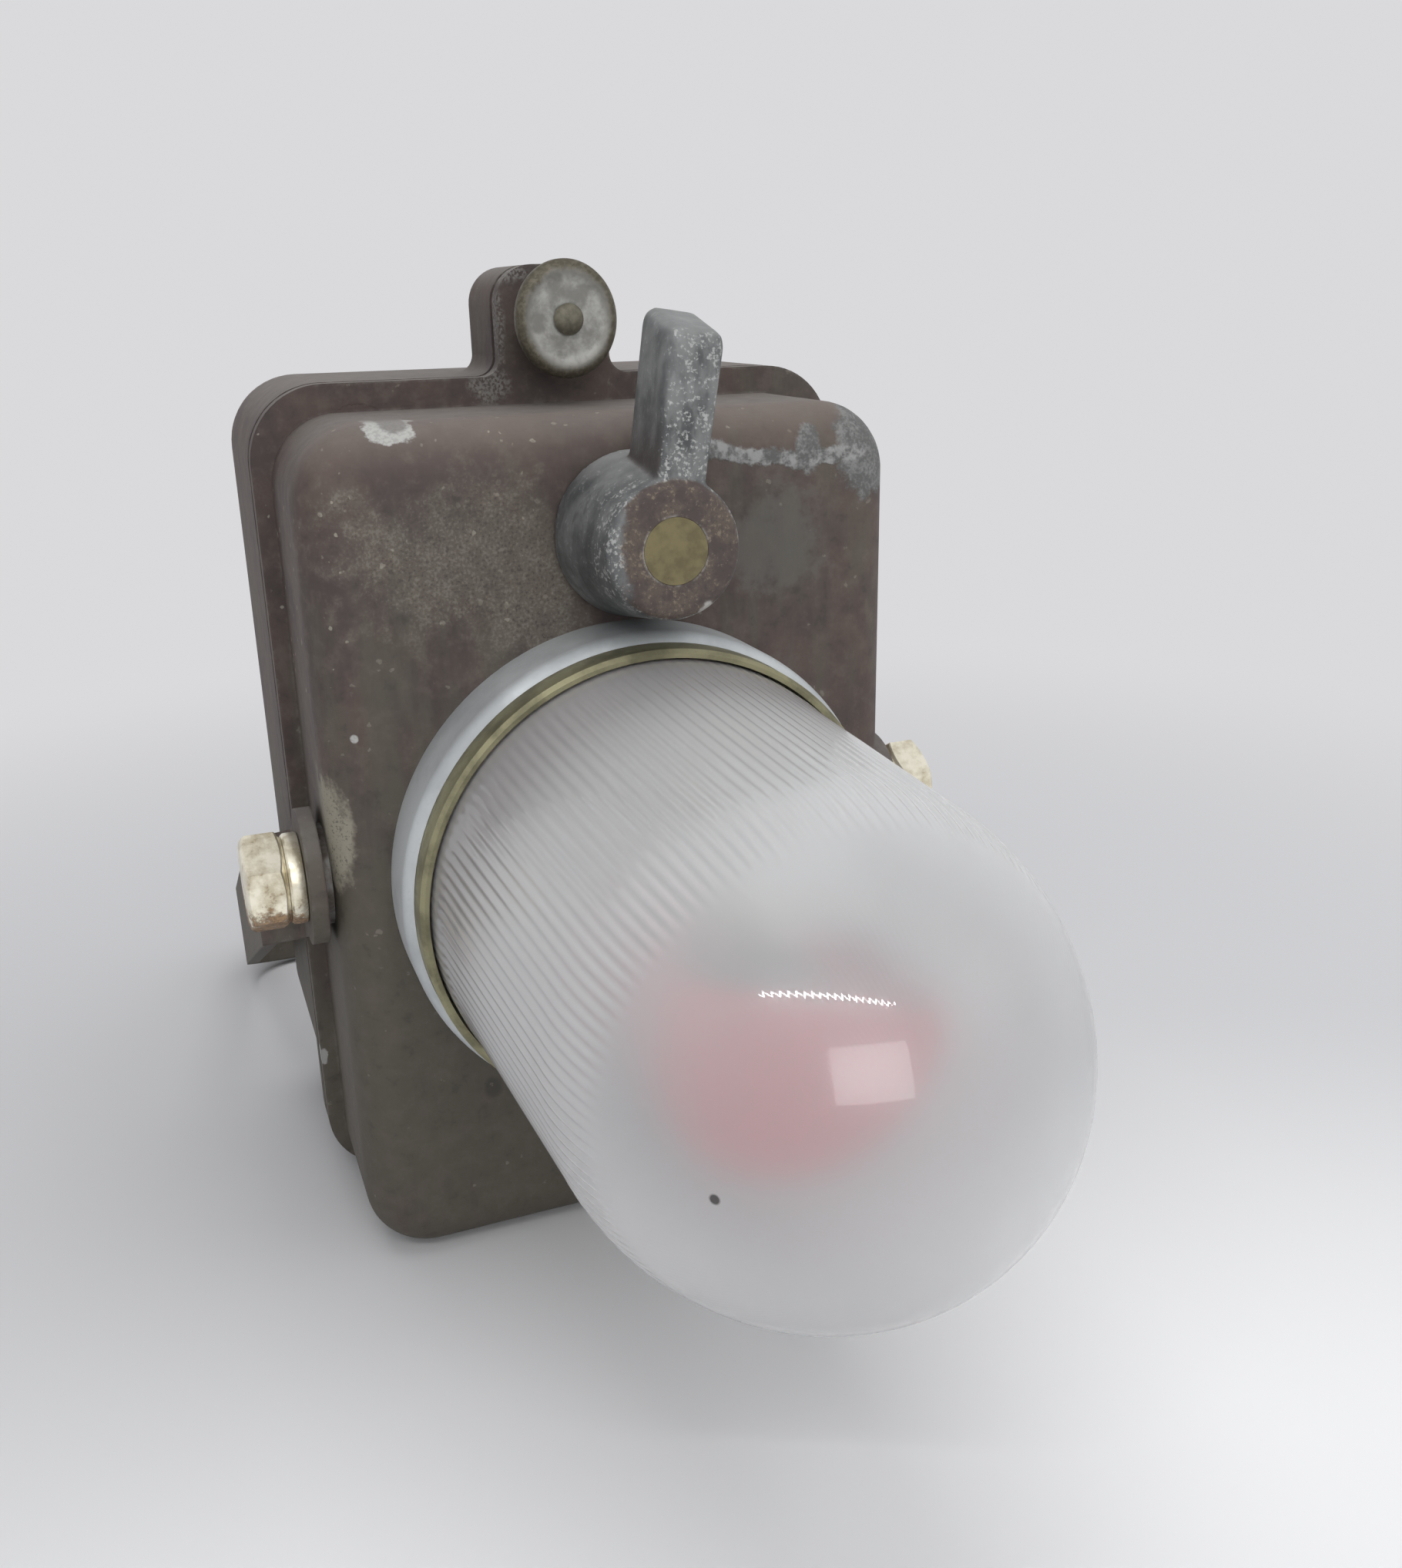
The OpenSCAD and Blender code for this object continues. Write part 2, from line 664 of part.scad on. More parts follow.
module switch_rotor() {
    color([0.25, 0.15, 0.1]) on_lever_axis() difference() {
        ring(rotor_r, shaft_r + fit_gap, -rotor_back, -rotor_front);
        for (x = [-1, 1]) translate([x * rotor_r, 0, -rotor_back - 1])
            rotate([0, 0, -lever_lean]) cylinder(r = 1.2, h = rotor_t + 2);
    }
}

module rotor_screw() {
    color([0.7, 0.65, 0.45]) on_lever_axis() translate([0, 0, -rotor_back]) {
        cylinder(r = plate_screw_r, h = rotor_t - 1);
        translate([0, 0, -screw_head_t]) cylinder(r = shaft_r + 1.5, h = screw_head_t);
    }
}

module contact_blocks() {
    color([0.3, 0.18, 0.1]) from_face() for (x = [-1, 1])
        translate([lever_x + x * (block_x + block_w / 2), lever_z, -housing_wall - block_depth / 2])
            cube([block_w, block_h, block_depth], center = true);
}

module contact_springs() {
    leaf_len = block_x - rotor_r - loose_gap + block_w / 2;
    color([0.75, 0.65, 0.35]) from_face() for (x = [-1, 1])
        translate([lever_x + x * (rotor_r + loose_gap + leaf_len / 2), lever_z, -rotor_back - leaf_t / 2])
            cube([leaf_len, leaf_w, leaf_t], center = true);
}

module battery_contacts() {
    foot_h = 10;
    color([0.75, 0.65, 0.35]) from_face() for (x = [-strip_x, strip_x]) {
        translate([x - strip_w / 2, contact_z - foot_h, -plate_depth - lamp_plate_t - strip_t])
            cube([strip_w, foot_h + strip_t, strip_t]);
        translate([x - strip_w / 2, contact_z, -strip_back + loose_gap])
            cube([strip_w, strip_t, strip_back - loose_gap - plate_depth - lamp_plate_t]);
    }
}

module battery() {
    color([0.2, 0.3, 0.5]) from_face()
        translate([0, 0, -battery_back]) linear_extrude(battery_t)
        round_rect(battery_w, battery_z, battery_z + battery_h, 3);
}

module battery_strips() {
    color([0.8, 0.7, 0.35]) from_face() for (x = [-strip_x, strip_x])
        translate([x - strip_w / 2, battery_z + battery_h, -strip_back - strip_t])
            cube([strip_w, strip_rise, strip_t]);
}

module battery_strap() {
    strap_z = battery_z + battery_h / 2 - strap_h / 2;
    strap_half = box_in_w / 2 - fit_gap;
    strap_back = battery_front - fit_gap;
    color([0.6, 0.6, 0.62]) from_face() {
        translate([-strap_half, strap_z, -strap_back]) cube([2 * strap_half, strap_h, strap_t]);
        both_sides() translate([strap_half - strap_t, strap_z, -strap_back - strap_leg])
            cube([strap_t, strap_h, strap_leg + tiny]);
    }
}

module closing_screw() {
    rivet_ball_r = (rivet_r * rivet_r + rivet_h * rivet_h) / (2 * rivet_h);
    stem_foot = fit_gap - lug_front;
    knob_front = stem_foot + neck_len + knob_t;
    color([0.6, 0.52, 0.3]) on_screw_axis() {
        translate([0, 0, -rear_lug_back]) cylinder(r = screw_r, h = rear_lug_back + stem_foot);
        translate([0, 0, stem_foot]) cylinder(r = screw_r - 0.5, h = neck_len + knob_t);
        intersection() {
            translate([0, 0, knob_front + rivet_h - rivet_ball_r]) sphere(rivet_ball_r);
            translate([0, 0, knob_front]) cylinder(r = rivet_r, h = rivet_h);
        }
    }
}

// Oval of the thumb knob
module knob_outline() {
    for (y = [-knob_stretch / 2, knob_stretch / 2]) translate([0, y]) circle(knob_r);
    square([2 * knob_r, knob_stretch], center = true);
}

module thumb_knob() {
    bore = screw_r - 0.5 + fit_gap;
    color([0.62, 0.6, 0.55]) on_screw_axis() translate([0, 0, fit_gap - lug_front]) difference() {
        union() {
            cylinder(r = neck_r, h = neck_len + 1);
            translate([0, 0, neck_len]) linear_extrude(knob_t) knob_outline();
        }
        translate([0, 0, -1]) cylinder(r = bore, h = neck_len + knob_t + 2);
    }
}

module side_bolts() {
    shank_in = housing_w / 2 - housing_wall - bolt_boss_len;
    color([0.75, 0.68, 0.55]) both_sides() on_bolt_axis() {
        translate([0, 0, shank_in]) cylinder(r = bolt_r, h = head_in - shank_in + tiny);
        translate([0, 0, head_in]) cylinder(r = bolt_flats / sqrt(3), h = bolt_head_h, $fn = 6);
    }
}

module bolt_collars() {
    color([0.7, 0.62, 0.5]) both_sides() on_bolt_axis()
        ring(bush_r, bolt_r + fit_gap, bail_out + fit_gap, head_in);
}

module bolt_spacers() {
    color([0.15, 0.14, 0.14]) both_sides() on_bolt_axis()
        ring(spacer_r, bolt_r + fit_gap, housing_w / 2, bail_in - fit_gap);
}

// Upright shape with two round corners at its far end, from y = y_low to y = y_high
module round_end(half_w, y_low, y_high, r) {
    translate([-half_w, y_low]) square([2 * half_w, y_high - r - y_low]);
    translate([-half_w + r, y_low]) square([2 * half_w - 2 * r, y_high - y_low]);
    for (x = [-half_w + r, half_w - r]) translate([x, y_high - r]) circle(r);
}

// The bail's strip seen edge-on: x across, y away from the pivot
module bail_plan() {
    arm_out = arm_in + bail_t;
    difference() {
        round_end(arm_out, step_end, bail_reach, bail_bend_r);
        round_end(arm_in, step_end - 1, bail_reach - bail_t, bail_bend_r - bail_t);
    }
    both_sides() polygon([
        [bail_in, 0],
        [bail_out, 0],
        [bail_out, step_start],
        [arm_out, step_end],
        [arm_in, step_end],
        [bail_in, step_start]
    ]);
}

module handle_bail() {
    color([0.25, 0.19, 0.18]) translate([0, bolt_back - face_out, axis_z]) rotate([-bail_drop, 0, 0])
        difference() {
            union() {
                translate([0, 0, -bail_w / 2]) linear_extrude(bail_w) bail_plan();
                both_sides() translate([bail_in, 0, 0]) rotate([0, 90, 0]) cylinder(r = bail_end_r, h = bail_t);
            }
            both_sides() translate([bail_in - 1, 0, 0]) rotate([0, 90, 0])
                cylinder(r = bolt_r + fit_gap, h = bail_t + 2);
        }
}

front_housing();
rear_case();
case_seal();
bezel_collar();
bezel_lock_ring();
glass_seal();
glass_dome();
glass_clamp_ring();
reflector_disc();
lamp_plate();
plate_screws();
lamp_post();
lamp_socket();
socket_insulator();
bulb_cap();
bulb_globe();
red_filter();
switch_lever();
lever_shaft();
shaft_bush();
felt_washer();
shaft_clip();
switch_rotor();
rotor_screw();
contact_blocks();
contact_springs();
battery_contacts();
battery();
battery_strips();
battery_strap();
closing_screw();
thumb_knob();
side_bolts();
bolt_collars();
bolt_spacers();
handle_bail();
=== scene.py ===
import math

import bmesh
import bpy
from mathutils import Matrix, Vector


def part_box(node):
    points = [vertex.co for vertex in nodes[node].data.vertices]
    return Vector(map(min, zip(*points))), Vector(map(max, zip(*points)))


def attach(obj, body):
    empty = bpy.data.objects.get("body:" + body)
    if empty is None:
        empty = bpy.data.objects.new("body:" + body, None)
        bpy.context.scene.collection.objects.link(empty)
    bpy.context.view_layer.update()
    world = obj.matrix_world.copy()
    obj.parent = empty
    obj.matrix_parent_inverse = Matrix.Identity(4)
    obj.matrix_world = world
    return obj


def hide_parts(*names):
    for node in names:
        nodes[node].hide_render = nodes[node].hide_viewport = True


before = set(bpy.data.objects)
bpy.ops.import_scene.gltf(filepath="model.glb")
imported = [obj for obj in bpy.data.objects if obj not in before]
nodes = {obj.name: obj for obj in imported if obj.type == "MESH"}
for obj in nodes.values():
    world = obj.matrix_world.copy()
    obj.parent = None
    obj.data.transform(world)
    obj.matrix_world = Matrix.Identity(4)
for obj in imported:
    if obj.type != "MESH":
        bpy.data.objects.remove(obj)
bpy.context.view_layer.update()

MM = 0.001


def middle(node):
    low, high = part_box(node)
    return (low + high) / 2


# Places taken from the solids
FACE_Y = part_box("front_housing")[0].y
AXIS_Z = middle("bezel_collar").z
SHAFT = middle("lever_shaft")
SCREW = middle("thumb_knob")
BOLT = middle("side_bolts")

# Sizes of the glass in millimetres, heights above the face
GLASS_FOOT, GLASS_BEAD_TOP = 3.0, 6.0
GLASS_STRAIGHT, GLASS_TIP = 63.0, 101.0
GLASS_R, GLASS_END_R, GLASS_BEAD_R, GLASS_WALL = 35.5, 33.1, 36.75, 3.0
RIB_COUNT, RIB_STEPS, RIB_DEPTH = 128, 8, 0.24
RIB_START, RIB_RUN_IN, RIB_END = 19.0, 1.2, 77.6
PLAIN_BAND = 0.3
BUBBLE_X, BUBBLE_HEIGHT = -22.7, 90.7

# Turns on the end of the glass in degrees, from its straight part to its tip
RIB_FADE_BELOW, RIB_FADE_ABOVE, RIB_FADE_ROWS = 7.0, 1.5, 10
RIPPLE_GAP, RIPPLE_TOP, RIPPLE_SHARE = 3.0, 59.0, 0.022


class Wire:
    """An output socket that takes part in sums and products."""

    def __init__(self, sheet, socket):
        self.sheet = sheet
        self.socket = socket

    def math(self, operation, *values, clamp=False):
        settings = {"operation": operation, "use_clamp": clamp}
        return self.sheet.add("ShaderNodeMath", settings, dict(enumerate(values)))[0]

    def __add__(self, other):
        return self.math("ADD", self, other)

    def __radd__(self, other):
        return self.math("ADD", other, self)

    def __sub__(self, other):
        return self.math("SUBTRACT", self, other)

    def __rsub__(self, other):
        return self.math("SUBTRACT", other, self)

    def __mul__(self, other):
        return self.math("MULTIPLY", self, other)

    def __rmul__(self, other):
        return self.math("MULTIPLY", other, self)

    def __truediv__(self, other):
        return self.math("DIVIDE", self, other)

    def __rtruediv__(self, other):
        return self.math("DIVIDE", other, self)

    def limited(self):
        return self.math("ADD", self, 0.0, clamp=True)

    def root(self):
        return self.math("SQRT", self)

    def most(self, other):
        return self.math("MAXIMUM", self, other)

    def least(self, other):
        return self.math("MINIMUM", self, other)

    def rounded(self):
        return self.math("ROUND", self)

    def sine(self):
        return self.math("SINE", self)

    def cosine(self):
        return self.math("COSINE", self)

    def size(self):
        return self.math("ABSOLUTE", self)


class Made:
    """A node, whose outputs are read by name or number."""

    def __init__(self, sheet, node):
        self.sheet = sheet
        self.node = node

    def __getitem__(self, key):
        return Wire(self.sheet, self.node.outputs[key])


class Sheet:
    """A node tree with one way to add a node."""

    def __init__(self, tree):
        self.tree = tree
        tree.nodes.clear()

    def add(self, kind, settings=None, sockets=None):
        node = self.tree.nodes.new(kind)
        for name, value in (settings or {}).items():
            setattr(node, name, value)
        for key, value in (sockets or {}).items():
            self.join(value, node.inputs[key])
        return Made(self, node)

    def join(self, value, socket):
        if isinstance(value, Wire):
            self.tree.links.new(value.socket, socket)
        elif socket.type == "RGBA" and len(value) == 3:
            socket.default_value = (*value, 1.0)
        else:
            socket.default_value = value


class Finish(Sheet):
    """A material whose colour, gloss and relief follow the place on the object."""

    def __init__(self, name):
        self.material = bpy.data.materials.new(name)
        self.material.use_nodes = True
        super().__init__(self.material.node_tree)
        where = self.add("ShaderNodeTexCoord")
        self.place = where["Object"]
        split = self.add("ShaderNodeSeparateXYZ", None, {0: self.place})
        self.x, self.y, self.z = split[0], split[1], split[2]
        self.facing = self.add("ShaderNodeSeparateXYZ", None, {0: where["Normal"]})

    def noise(self, scale, detail=3.0, roughness=0.55, stretch=None):
        place = self.place
        if stretch:
            place = self.add("ShaderNodeMapping", None, {"Vector": place, "Scale": stretch})[0]
        sockets = {"Vector": place, "Scale": scale, "Detail": detail, "Roughness": roughness}
        return self.add("ShaderNodeTexNoise", None, sockets)[0]

    def step(self, value, low, high):
        sockets = {0: value, 1: low, 2: high}
        return self.add("ShaderNodeMapRange", {"interpolation_type": "SMOOTHSTEP"}, sockets)[0]

    def mix(self, share, first, second):
        return self.add("ShaderNodeMix", {"data_type": "RGBA"}, {0: share, 6: first, 7: second})[2]

    def dots(self, scale):
        """Small scattered specks of uneven size and outline."""
        wander = self.add("ShaderNodeTexNoise", None, {"Vector": self.place, "Scale": 900.0, "Detail": 2.0})["Color"]
        shift = self.add("ShaderNodeVectorMath", {"operation": "SCALE"}, {0: wander, "Scale": 0.0011})[0]
        place = self.add("ShaderNodeVectorMath", {"operation": "ADD"}, {0: self.place, 1: shift})[0]
        cells = self.add("ShaderNodeTexVoronoi", None, {"Vector": place, "Scale": scale})
        luck = self.add("ShaderNodeSeparateXYZ", None, {0: cells["Color"]})[0]
        return self.step(cells["Distance"] - luck * luck * 0.22, 0.06, 0.0)

    def soft_edges(self, radius):
        return self.add("ShaderNodeBevel", {"samples": 4}, {"Radius": radius})[0]

    def edges(self, radius, low, high):
        """High where the surface turns sharply."""
        rounded = self.soft_edges(radius)
        true = self.add("ShaderNodeNewGeometry")["Normal"]
        along = self.add("ShaderNodeVectorMath", {"operation": "DOT_PRODUCT"}, {0: rounded, 1: true})["Value"]
        return self.step(1 - along, low, high)

    def from_point(self, point):
        """Distance in metres from a point."""
        return self.add("ShaderNodeVectorMath", {"operation": "DISTANCE"}, {0: self.place, 1: point})["Value"]

    def oval(self, cx, cz, rx, rz):
        """Falls from 1 in the middle of an oval on the front to 0 at its rim and below outside."""
        across = (self.x - cx * MM) / (rx * MM)
        up = (self.z - cz * MM) / (rz * MM)
        return 1 - (across * across + up * up).root()

    def line(self, start, end):
        """Distance in millimetres from a straight line on the front."""
        ax, az = start
        bx, bz = end[0] - ax, end[1] - az
        px = self.x / MM - ax
        pz = self.z / MM - az
        along = ((px * bx + pz * bz) / (bx * bx + bz * bz)).limited()
        dx = px - along * bx
        dz = pz - along * bz
        return (dx * dx + dz * dz).root()

    def path(self, *points):
        """Distance in millimetres from a bent line on the front."""
        pieces = [self.line(a, b) for a, b in zip(points, points[1:])]
        nearest = pieces[0]
        for piece in pieces[1:]:
            nearest = nearest.least(piece)
        return nearest

    def relief(self, height, strength, depth, under=None):
        sockets = {"Height": height, "Strength": strength, "Distance": depth}
        if under:
            sockets["Normal"] = under
        return self.add("ShaderNodeBump", None, sockets)[0]

    def surface(self, sockets):
        shader = self.add("ShaderNodeBsdfPrincipled", None, sockets)[0]
        self.add("ShaderNodeOutputMaterial", None, {"Surface": shader})
        return self.material


# Colours of the finishes
MAROON = (0.097, 0.07, 0.06)
PLUM = (0.07, 0.052, 0.048)
OLIVE = (0.1, 0.09, 0.07)
KHAKI = (0.158, 0.138, 0.111)
PALE_DUST = (0.34, 0.315, 0.26)
DARK_DIRT = (0.045, 0.039, 0.035)
BARE_METAL = (0.128, 0.13, 0.126)
PALE_OXIDE = (0.4, 0.405, 0.395)


class Paint(Finish):
    """Brown enamel that turns olive low down, with dirt, pale specks and worn edges."""

    def __init__(self, name, olive, wear):
        super().__init__(name)
        self.blotch = self.noise(90, 5, 0.62)
        self.mottle = self.noise(360, 4, 0.62)
        self.grain = self.noise(2100, 3, 0.6)
        self.chips = self.dots(520)
        broad = self.noise(20, 3, 0.55)
        streak = self.noise(150, 4, 0.6, (1.5, 1.5, 0.35))
        low = self.step(self.z, 88 * MM, 30 * MM)
        green = self.step(broad * 0.55 + streak * 0.45 + low * 0.2 + olive, 0.47, 0.64)
        # Paler on surfaces that face upwards.
        upward_paler = self.step(self.facing[2], 0.35, 0.95) * (0.35 + self.mottle * 0.5)
        self.colour = self.mix(self.step(self.blotch, 0.36, 0.64), PLUM, MAROON)
        self.cover(green * 0.85, OLIVE)
        self.cover(self.step(self.mottle, 0.46, 0.72) * 0.4, (0.14, 0.114, 0.096))
        self.cover(self.step(self.mottle, 0.44, 0.26) * 0.45, DARK_DIRT)
        self.cover(upward_paler, (0.185, 0.172, 0.158))
        self.specks = self.chips * self.step(self.mottle, 0.5, 0.6) * 0.35
        self.height = self.blotch * 0.35 + self.mottle * 0.3 + self.grain * 0.25
        broken = self.step(self.mottle * 0.6 + streak * 0.4, 0.46, 0.62)
        self.worn_edge = self.edges(0.8 * MM, 0.03, 0.22) * broken * wear
        self.metal = self.worn_edge * 0.3

    def cover(self, share, colour):
        self.colour = self.mix(share, self.colour, colour)

    def speckle(self):
        """Lays the pale specks and the worn edges over the paint."""
        self.cover(self.specks.limited() * 0.8, PALE_DUST)
        self.cover(self.worn_edge, (0.25, 0.24, 0.22))

    def finished(self):
        return self.surface({
            "Base Color": self.colour,
            "Roughness": 0.58 + self.grain * 0.14,
            "Metallic": self.metal.limited(),
            "Specular IOR Level": 0.4,
            "Normal": self.relief(self.height, 0.45, 0.35 * MM, self.soft_edges(0.6 * MM)),
        })


def old_paint(name, olive, wear):
    paint = Paint(name, olive, wear)
    paint.speckle()
    return paint.finished()


class FrontPaint(Paint):
    """Enamel of the front casting, with the marks of long use and painted shade low down; places are in millimetres
    across and up.
    """

    def __init__(self, name, olive, wear):
        super().__init__(name, olive, wear)
        self.front = self.step(self.y, FACE_Y + 14 * MM, FACE_Y + 5 * MM)
        self.behind = 1 - self.front
        self.uneven = (self.blotch - 0.5) * 1.8 + (self.mottle - 0.5) * 1.2

    def painted_shade_and_dust(self):
        """Painted shade low down on the front, paler along the upper edge."""
        painted_shade = self.step(self.z, 104 * MM, 60 * MM) * self.front
        self.cover(painted_shade * 0.24, (0.055, 0.046, 0.032))
        dusty = self.step(self.z, 122 * MM, 134 * MM) * self.front
        self.cover(dusty * (0.3 + self.blotch * 0.4), (0.158, 0.121, 0.103))

    def rub(self):
        """Khaki ground where the paint is rubbed thin, and two dirty smears."""
        rubbed = self.oval(-25, 116, 24, 17).most(self.oval(-14, 108, 11, 13)) + self.uneven * 0.6
        rubbed = self.step(rubbed, 0.02, 0.75) * self.front
        by_bolt = self.step(self.oval(-46.2, 75.5, 4.0, 10) + self.uneven * 0.5, 0.1, 0.45) * self.front
        self.worn = rubbed.most(by_bolt)
        light_grain = self.step(self.grain + (self.mottle - 0.5) * 0.4, 0.53, 0.66)
        dark_grain = self.step(self.grain + (self.mottle - 0.5) * 0.3, 0.46, 0.34)
        self.cover(self.worn * 0.5, KHAKI)
        self.cover(by_bolt * 0.6, (0.4, 0.37, 0.29))
        self.cover(self.worn * light_grain * 0.5, (0.225, 0.208, 0.178))
        self.cover(self.worn * dark_grain * 0.6, DARK_DIRT)
        smear = self.step(self.oval(25, 114, 11, 12) + self.uneven * 0.6, 0.1, 0.6) * self.front
        self.cover(smear * 0.65, (0.115, 0.11, 0.098))
        smudge = self.step(self.oval(-25.4, 29.3, 2.6, 3.2) + self.uneven * 0.4, 0.2, 0.6) * self.front
        self.cover(smudge * 0.7, DARK_DIRT)

    def chip_edges(self):
        """Pale specks along the edges and where the paint is rubbed."""
        shoulder = self.step(self.line((-43.4, 96), (-41, 130)), 2.2, 0.4) * self.front
        flange = self.step(self.line((-47.2, 96), (-47.0, 136)), 1.6, 0.5) * self.behind
        top = self.step(self.line((-44, 134), (24, 132)), 3.5, 1.0) * self.front
        self.specks = self.specks + self.chips * (shoulder * 0.85 + flange * 0.9 + top * 0.55 + self.worn * 0.4)

    def scuff_flange(self):
        """Scuffs on the closing lug and chips low on the flange."""
        scuffed = self.oval(-11, 138, 5, 4.5).most(self.oval(-9.4, 147, 1.8, 9)).most(self.oval(-6.5, 154.5, 5, 2.4))
        scuffed = self.step(scuffed + self.uneven * 0.5, 0.1, 0.6) * self.behind
        self.cover(scuffed * self.step(self.grain, 0.4, 0.6) * 0.7, (0.24, 0.235, 0.22))
        foot_chips = self.step(self.oval(-49.0, 24.6, 1.0, 2.2) + self.uneven * 0.9, 0.25, 0.45) * self.behind
        self.cover(foot_chips * 0.8, PALE_OXIDE)

    def lay_bare(self):
        """Bare corner with the bead that runs to it, a chalky chip and a dot."""
        ragged = (self.noise(300, 4, 0.65) - 0.5) * 5
        fine = (self.noise(900, 3, 0.6) - 0.5) * 2.4
        bead = self.path((11, 129), (15.7, 128.7), (19.5, 127.4), (25.9, 126.9), (29.2, 126.2), (40, 127))
        bead = self.step(bead + ragged * 0.45 + fine * 0.5, 1.5, 0.95)
        blob = self.step(self.oval(31.0, 128, 2.6, 4.2) + ragged * 0.2 + fine * 0.12, 0.05, 0.3)
        patch = self.step(self.oval(42.4, 128.4, 7.6, 9.6) + ragged * 0.15 + fine * 0.08, 0.06, 0.26)
        bare = bead.most(blob).most(patch) * self.front
        oxide = self.mix(self.step(self.mottle * 0.5 + self.grain * 0.5, 0.42, 0.62), BARE_METAL, (0.25, 0.253, 0.247))
        oxide = self.mix(bead * self.step(self.mottle, 0.48, 0.62) * 0.7, oxide, PALE_OXIDE)
        self.cover(bare * 0.92, oxide)
        chip = self.step(self.oval(-32.2, 133.6, 4.2, 2.4) + ragged * 0.2 + fine * 0.12, 0.12, 0.26)
        hollow = self.step(self.oval(-31.4, 134.4, 2.7, 1.5) + fine * 0.25, 0.1, 0.4)
        dot = self.step(self.oval(-41.7, 90.6, 0.75, 0.85) + fine * 0.12, 0.1, 0.4)
        chalk = self.mix(hollow * 0.8, (0.46, 0.46, 0.44), (0.15, 0.14, 0.13))
        chalk = self.mix(self.step(self.grain, 0.55, 0.4) * 0.45, chalk, (0.26, 0.25, 0.24))
        self.cover(chip.most(dot) * self.front * 0.92, chalk)
        self.height = self.height + bare * 0.8 + bead * self.mottle * 0.6 - chip * 0.3
        self.metal = self.metal + bare * 0.3


def marked_paint(name, olive, wear):
    paint = FrontPaint(name, olive, wear)
    paint.painted_shade_and_dust()
    paint.rub()
    paint.chip_edges()
    paint.scuff_flange()
    paint.speckle()
    paint.lay_bare()
    return paint.finished()


def lever_metal():
    """Dark cast metal with pale scuffs, a painted highlight on upward faces of the arm and painted shade in bands on
    left-facing faces low down; the hub's face keeps its brown paint.
    """
    f = Finish("worn_lever_metal")
    cloud = f.noise(120, 4, 0.6)
    streak = f.noise(280, 4, 0.6, (1.0, 1.0, 0.45))
    clump = f.noise(480, 3, 0.6)
    grain = f.noise(1900, 3, 0.6)
    face_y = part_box("switch_lever")[0].y
    toward = f.step(f.facing[1], -0.45, -0.85)
    above = f.step(f.facing[2], 0.35, 0.8)
    sideways = f.step(f.facing[0], -0.4, -0.8)
    high = f.step(f.z, SHAFT.z + 8 * MM, SHAFT.z + 12 * MM)
    root = f.step(f.z, SHAFT.z + 19 * MM, SHAFT.z + 11 * MM)
    outer = f.step(f.y, face_y + 9 * MM, face_y + 2.5 * MM)
    bare = f.mix(f.step(cloud * 0.6 + streak * 0.4, 0.36, 0.64), (0.085, 0.089, 0.09), (0.235, 0.24, 0.238))
    # Painted highlight: upward faces of the arm are paler.
    bare = f.mix(above * high * 0.6, bare, (0.3, 0.305, 0.3))
    bare = f.mix(toward * high * f.step(streak, 0.4, 0.6) * 0.5, bare, (0.26, 0.265, 0.26))
    # Painted shade: dark streaky bands on left-facing faces low on the lever.
    left_shade_bands = f.step(streak, 0.48, 0.6) * sideways * (1 - high)
    bare = f.mix(left_shade_bands * 0.55, bare, (0.05, 0.052, 0.053))
    amount = toward * high + outer * (1 - high) * 1.1 + high * root * 0.25 + 0.1
    scuffs = f.step(grain * 0.65 + clump * 0.35 + amount * 0.045, 0.57, 0.67) * (0.3 + amount * 0.7).limited()
    bare = f.mix(scuffs * 0.8, bare, (0.5, 0.503, 0.49))
    brown = f.mix(f.step(clump, 0.36, 0.64), PLUM, (0.108, 0.082, 0.066))
    bare = f.mix(sideways * high * root * 0.75, bare, (0.075, 0.06, 0.055))
    face = f.step(f.y + (clump - 0.5) * 0.7 * MM, face_y + 0.95 * MM, face_y + 0.5 * MM)
    face = face * f.step(f.x - SHAFT.x + (clump - 0.5) * 5 * MM, -8.2 * MM, -6.6 * MM)
    flecks = f.step(grain * 0.7 + clump * 0.3, 0.55, 0.64)
    brown = f.mix(flecks * 0.5, brown, (0.28, 0.23, 0.165))
    brown = f.mix(f.step(grain, 0.44, 0.34) * 0.5, brown, DARK_DIRT)
    edge = f.edges(0.7 * MM, 0.02, 0.14) * f.step(clump, 0.46, 0.6)
    colour = f.mix(face, bare, brown)
    colour = f.mix(edge * 0.5, colour, (0.46, 0.46, 0.45))
    chip = f.from_point((SHAFT.x + 4.8 * MM, face_y + 0.6 * MM, SHAFT.z - 9.4 * MM))
    chip = f.step(chip + (clump - 0.5) * 2.5 * MM, 2.1 * MM, 1.3 * MM)
    colour = f.mix(chip * 0.85, colour, (0.5, 0.49, 0.46))
    return f.surface({
        "Base Color": colour,
        "Roughness": 0.46 + face * 0.14 + grain * 0.12,
        "Metallic": (1 - face) * 0.4,
        "Normal": f.relief(clump * 0.5 + grain * 0.4 + scuffs * 0.2, 0.4, 0.25 * MM),
    })


def plated(name, bright, dark, rough=0.3, metallic=0.9, spot_scale=170):
    """Plated or bare metal with soft stains and fine scratches."""
    f = Finish(name)
    stain = f.noise(spot_scale, 5, 0.62)
    grain = f.noise(1800, 3, 0.6)
    colour = f.mix(f.step(stain, 0.38, 0.66), bright, dark)
    colour = f.mix(f.step(grain, 0.58, 0.72) * 0.3, colour, dark)
    return f.surface({
        "Base Color": colour,
        "Roughness": rough + stain * 0.18 + grain * 0.06,
        "Metallic": metallic,
        "Normal": f.relief(stain * 0.5 + grain * 0.5, 0.25, 0.12 * MM),
    })


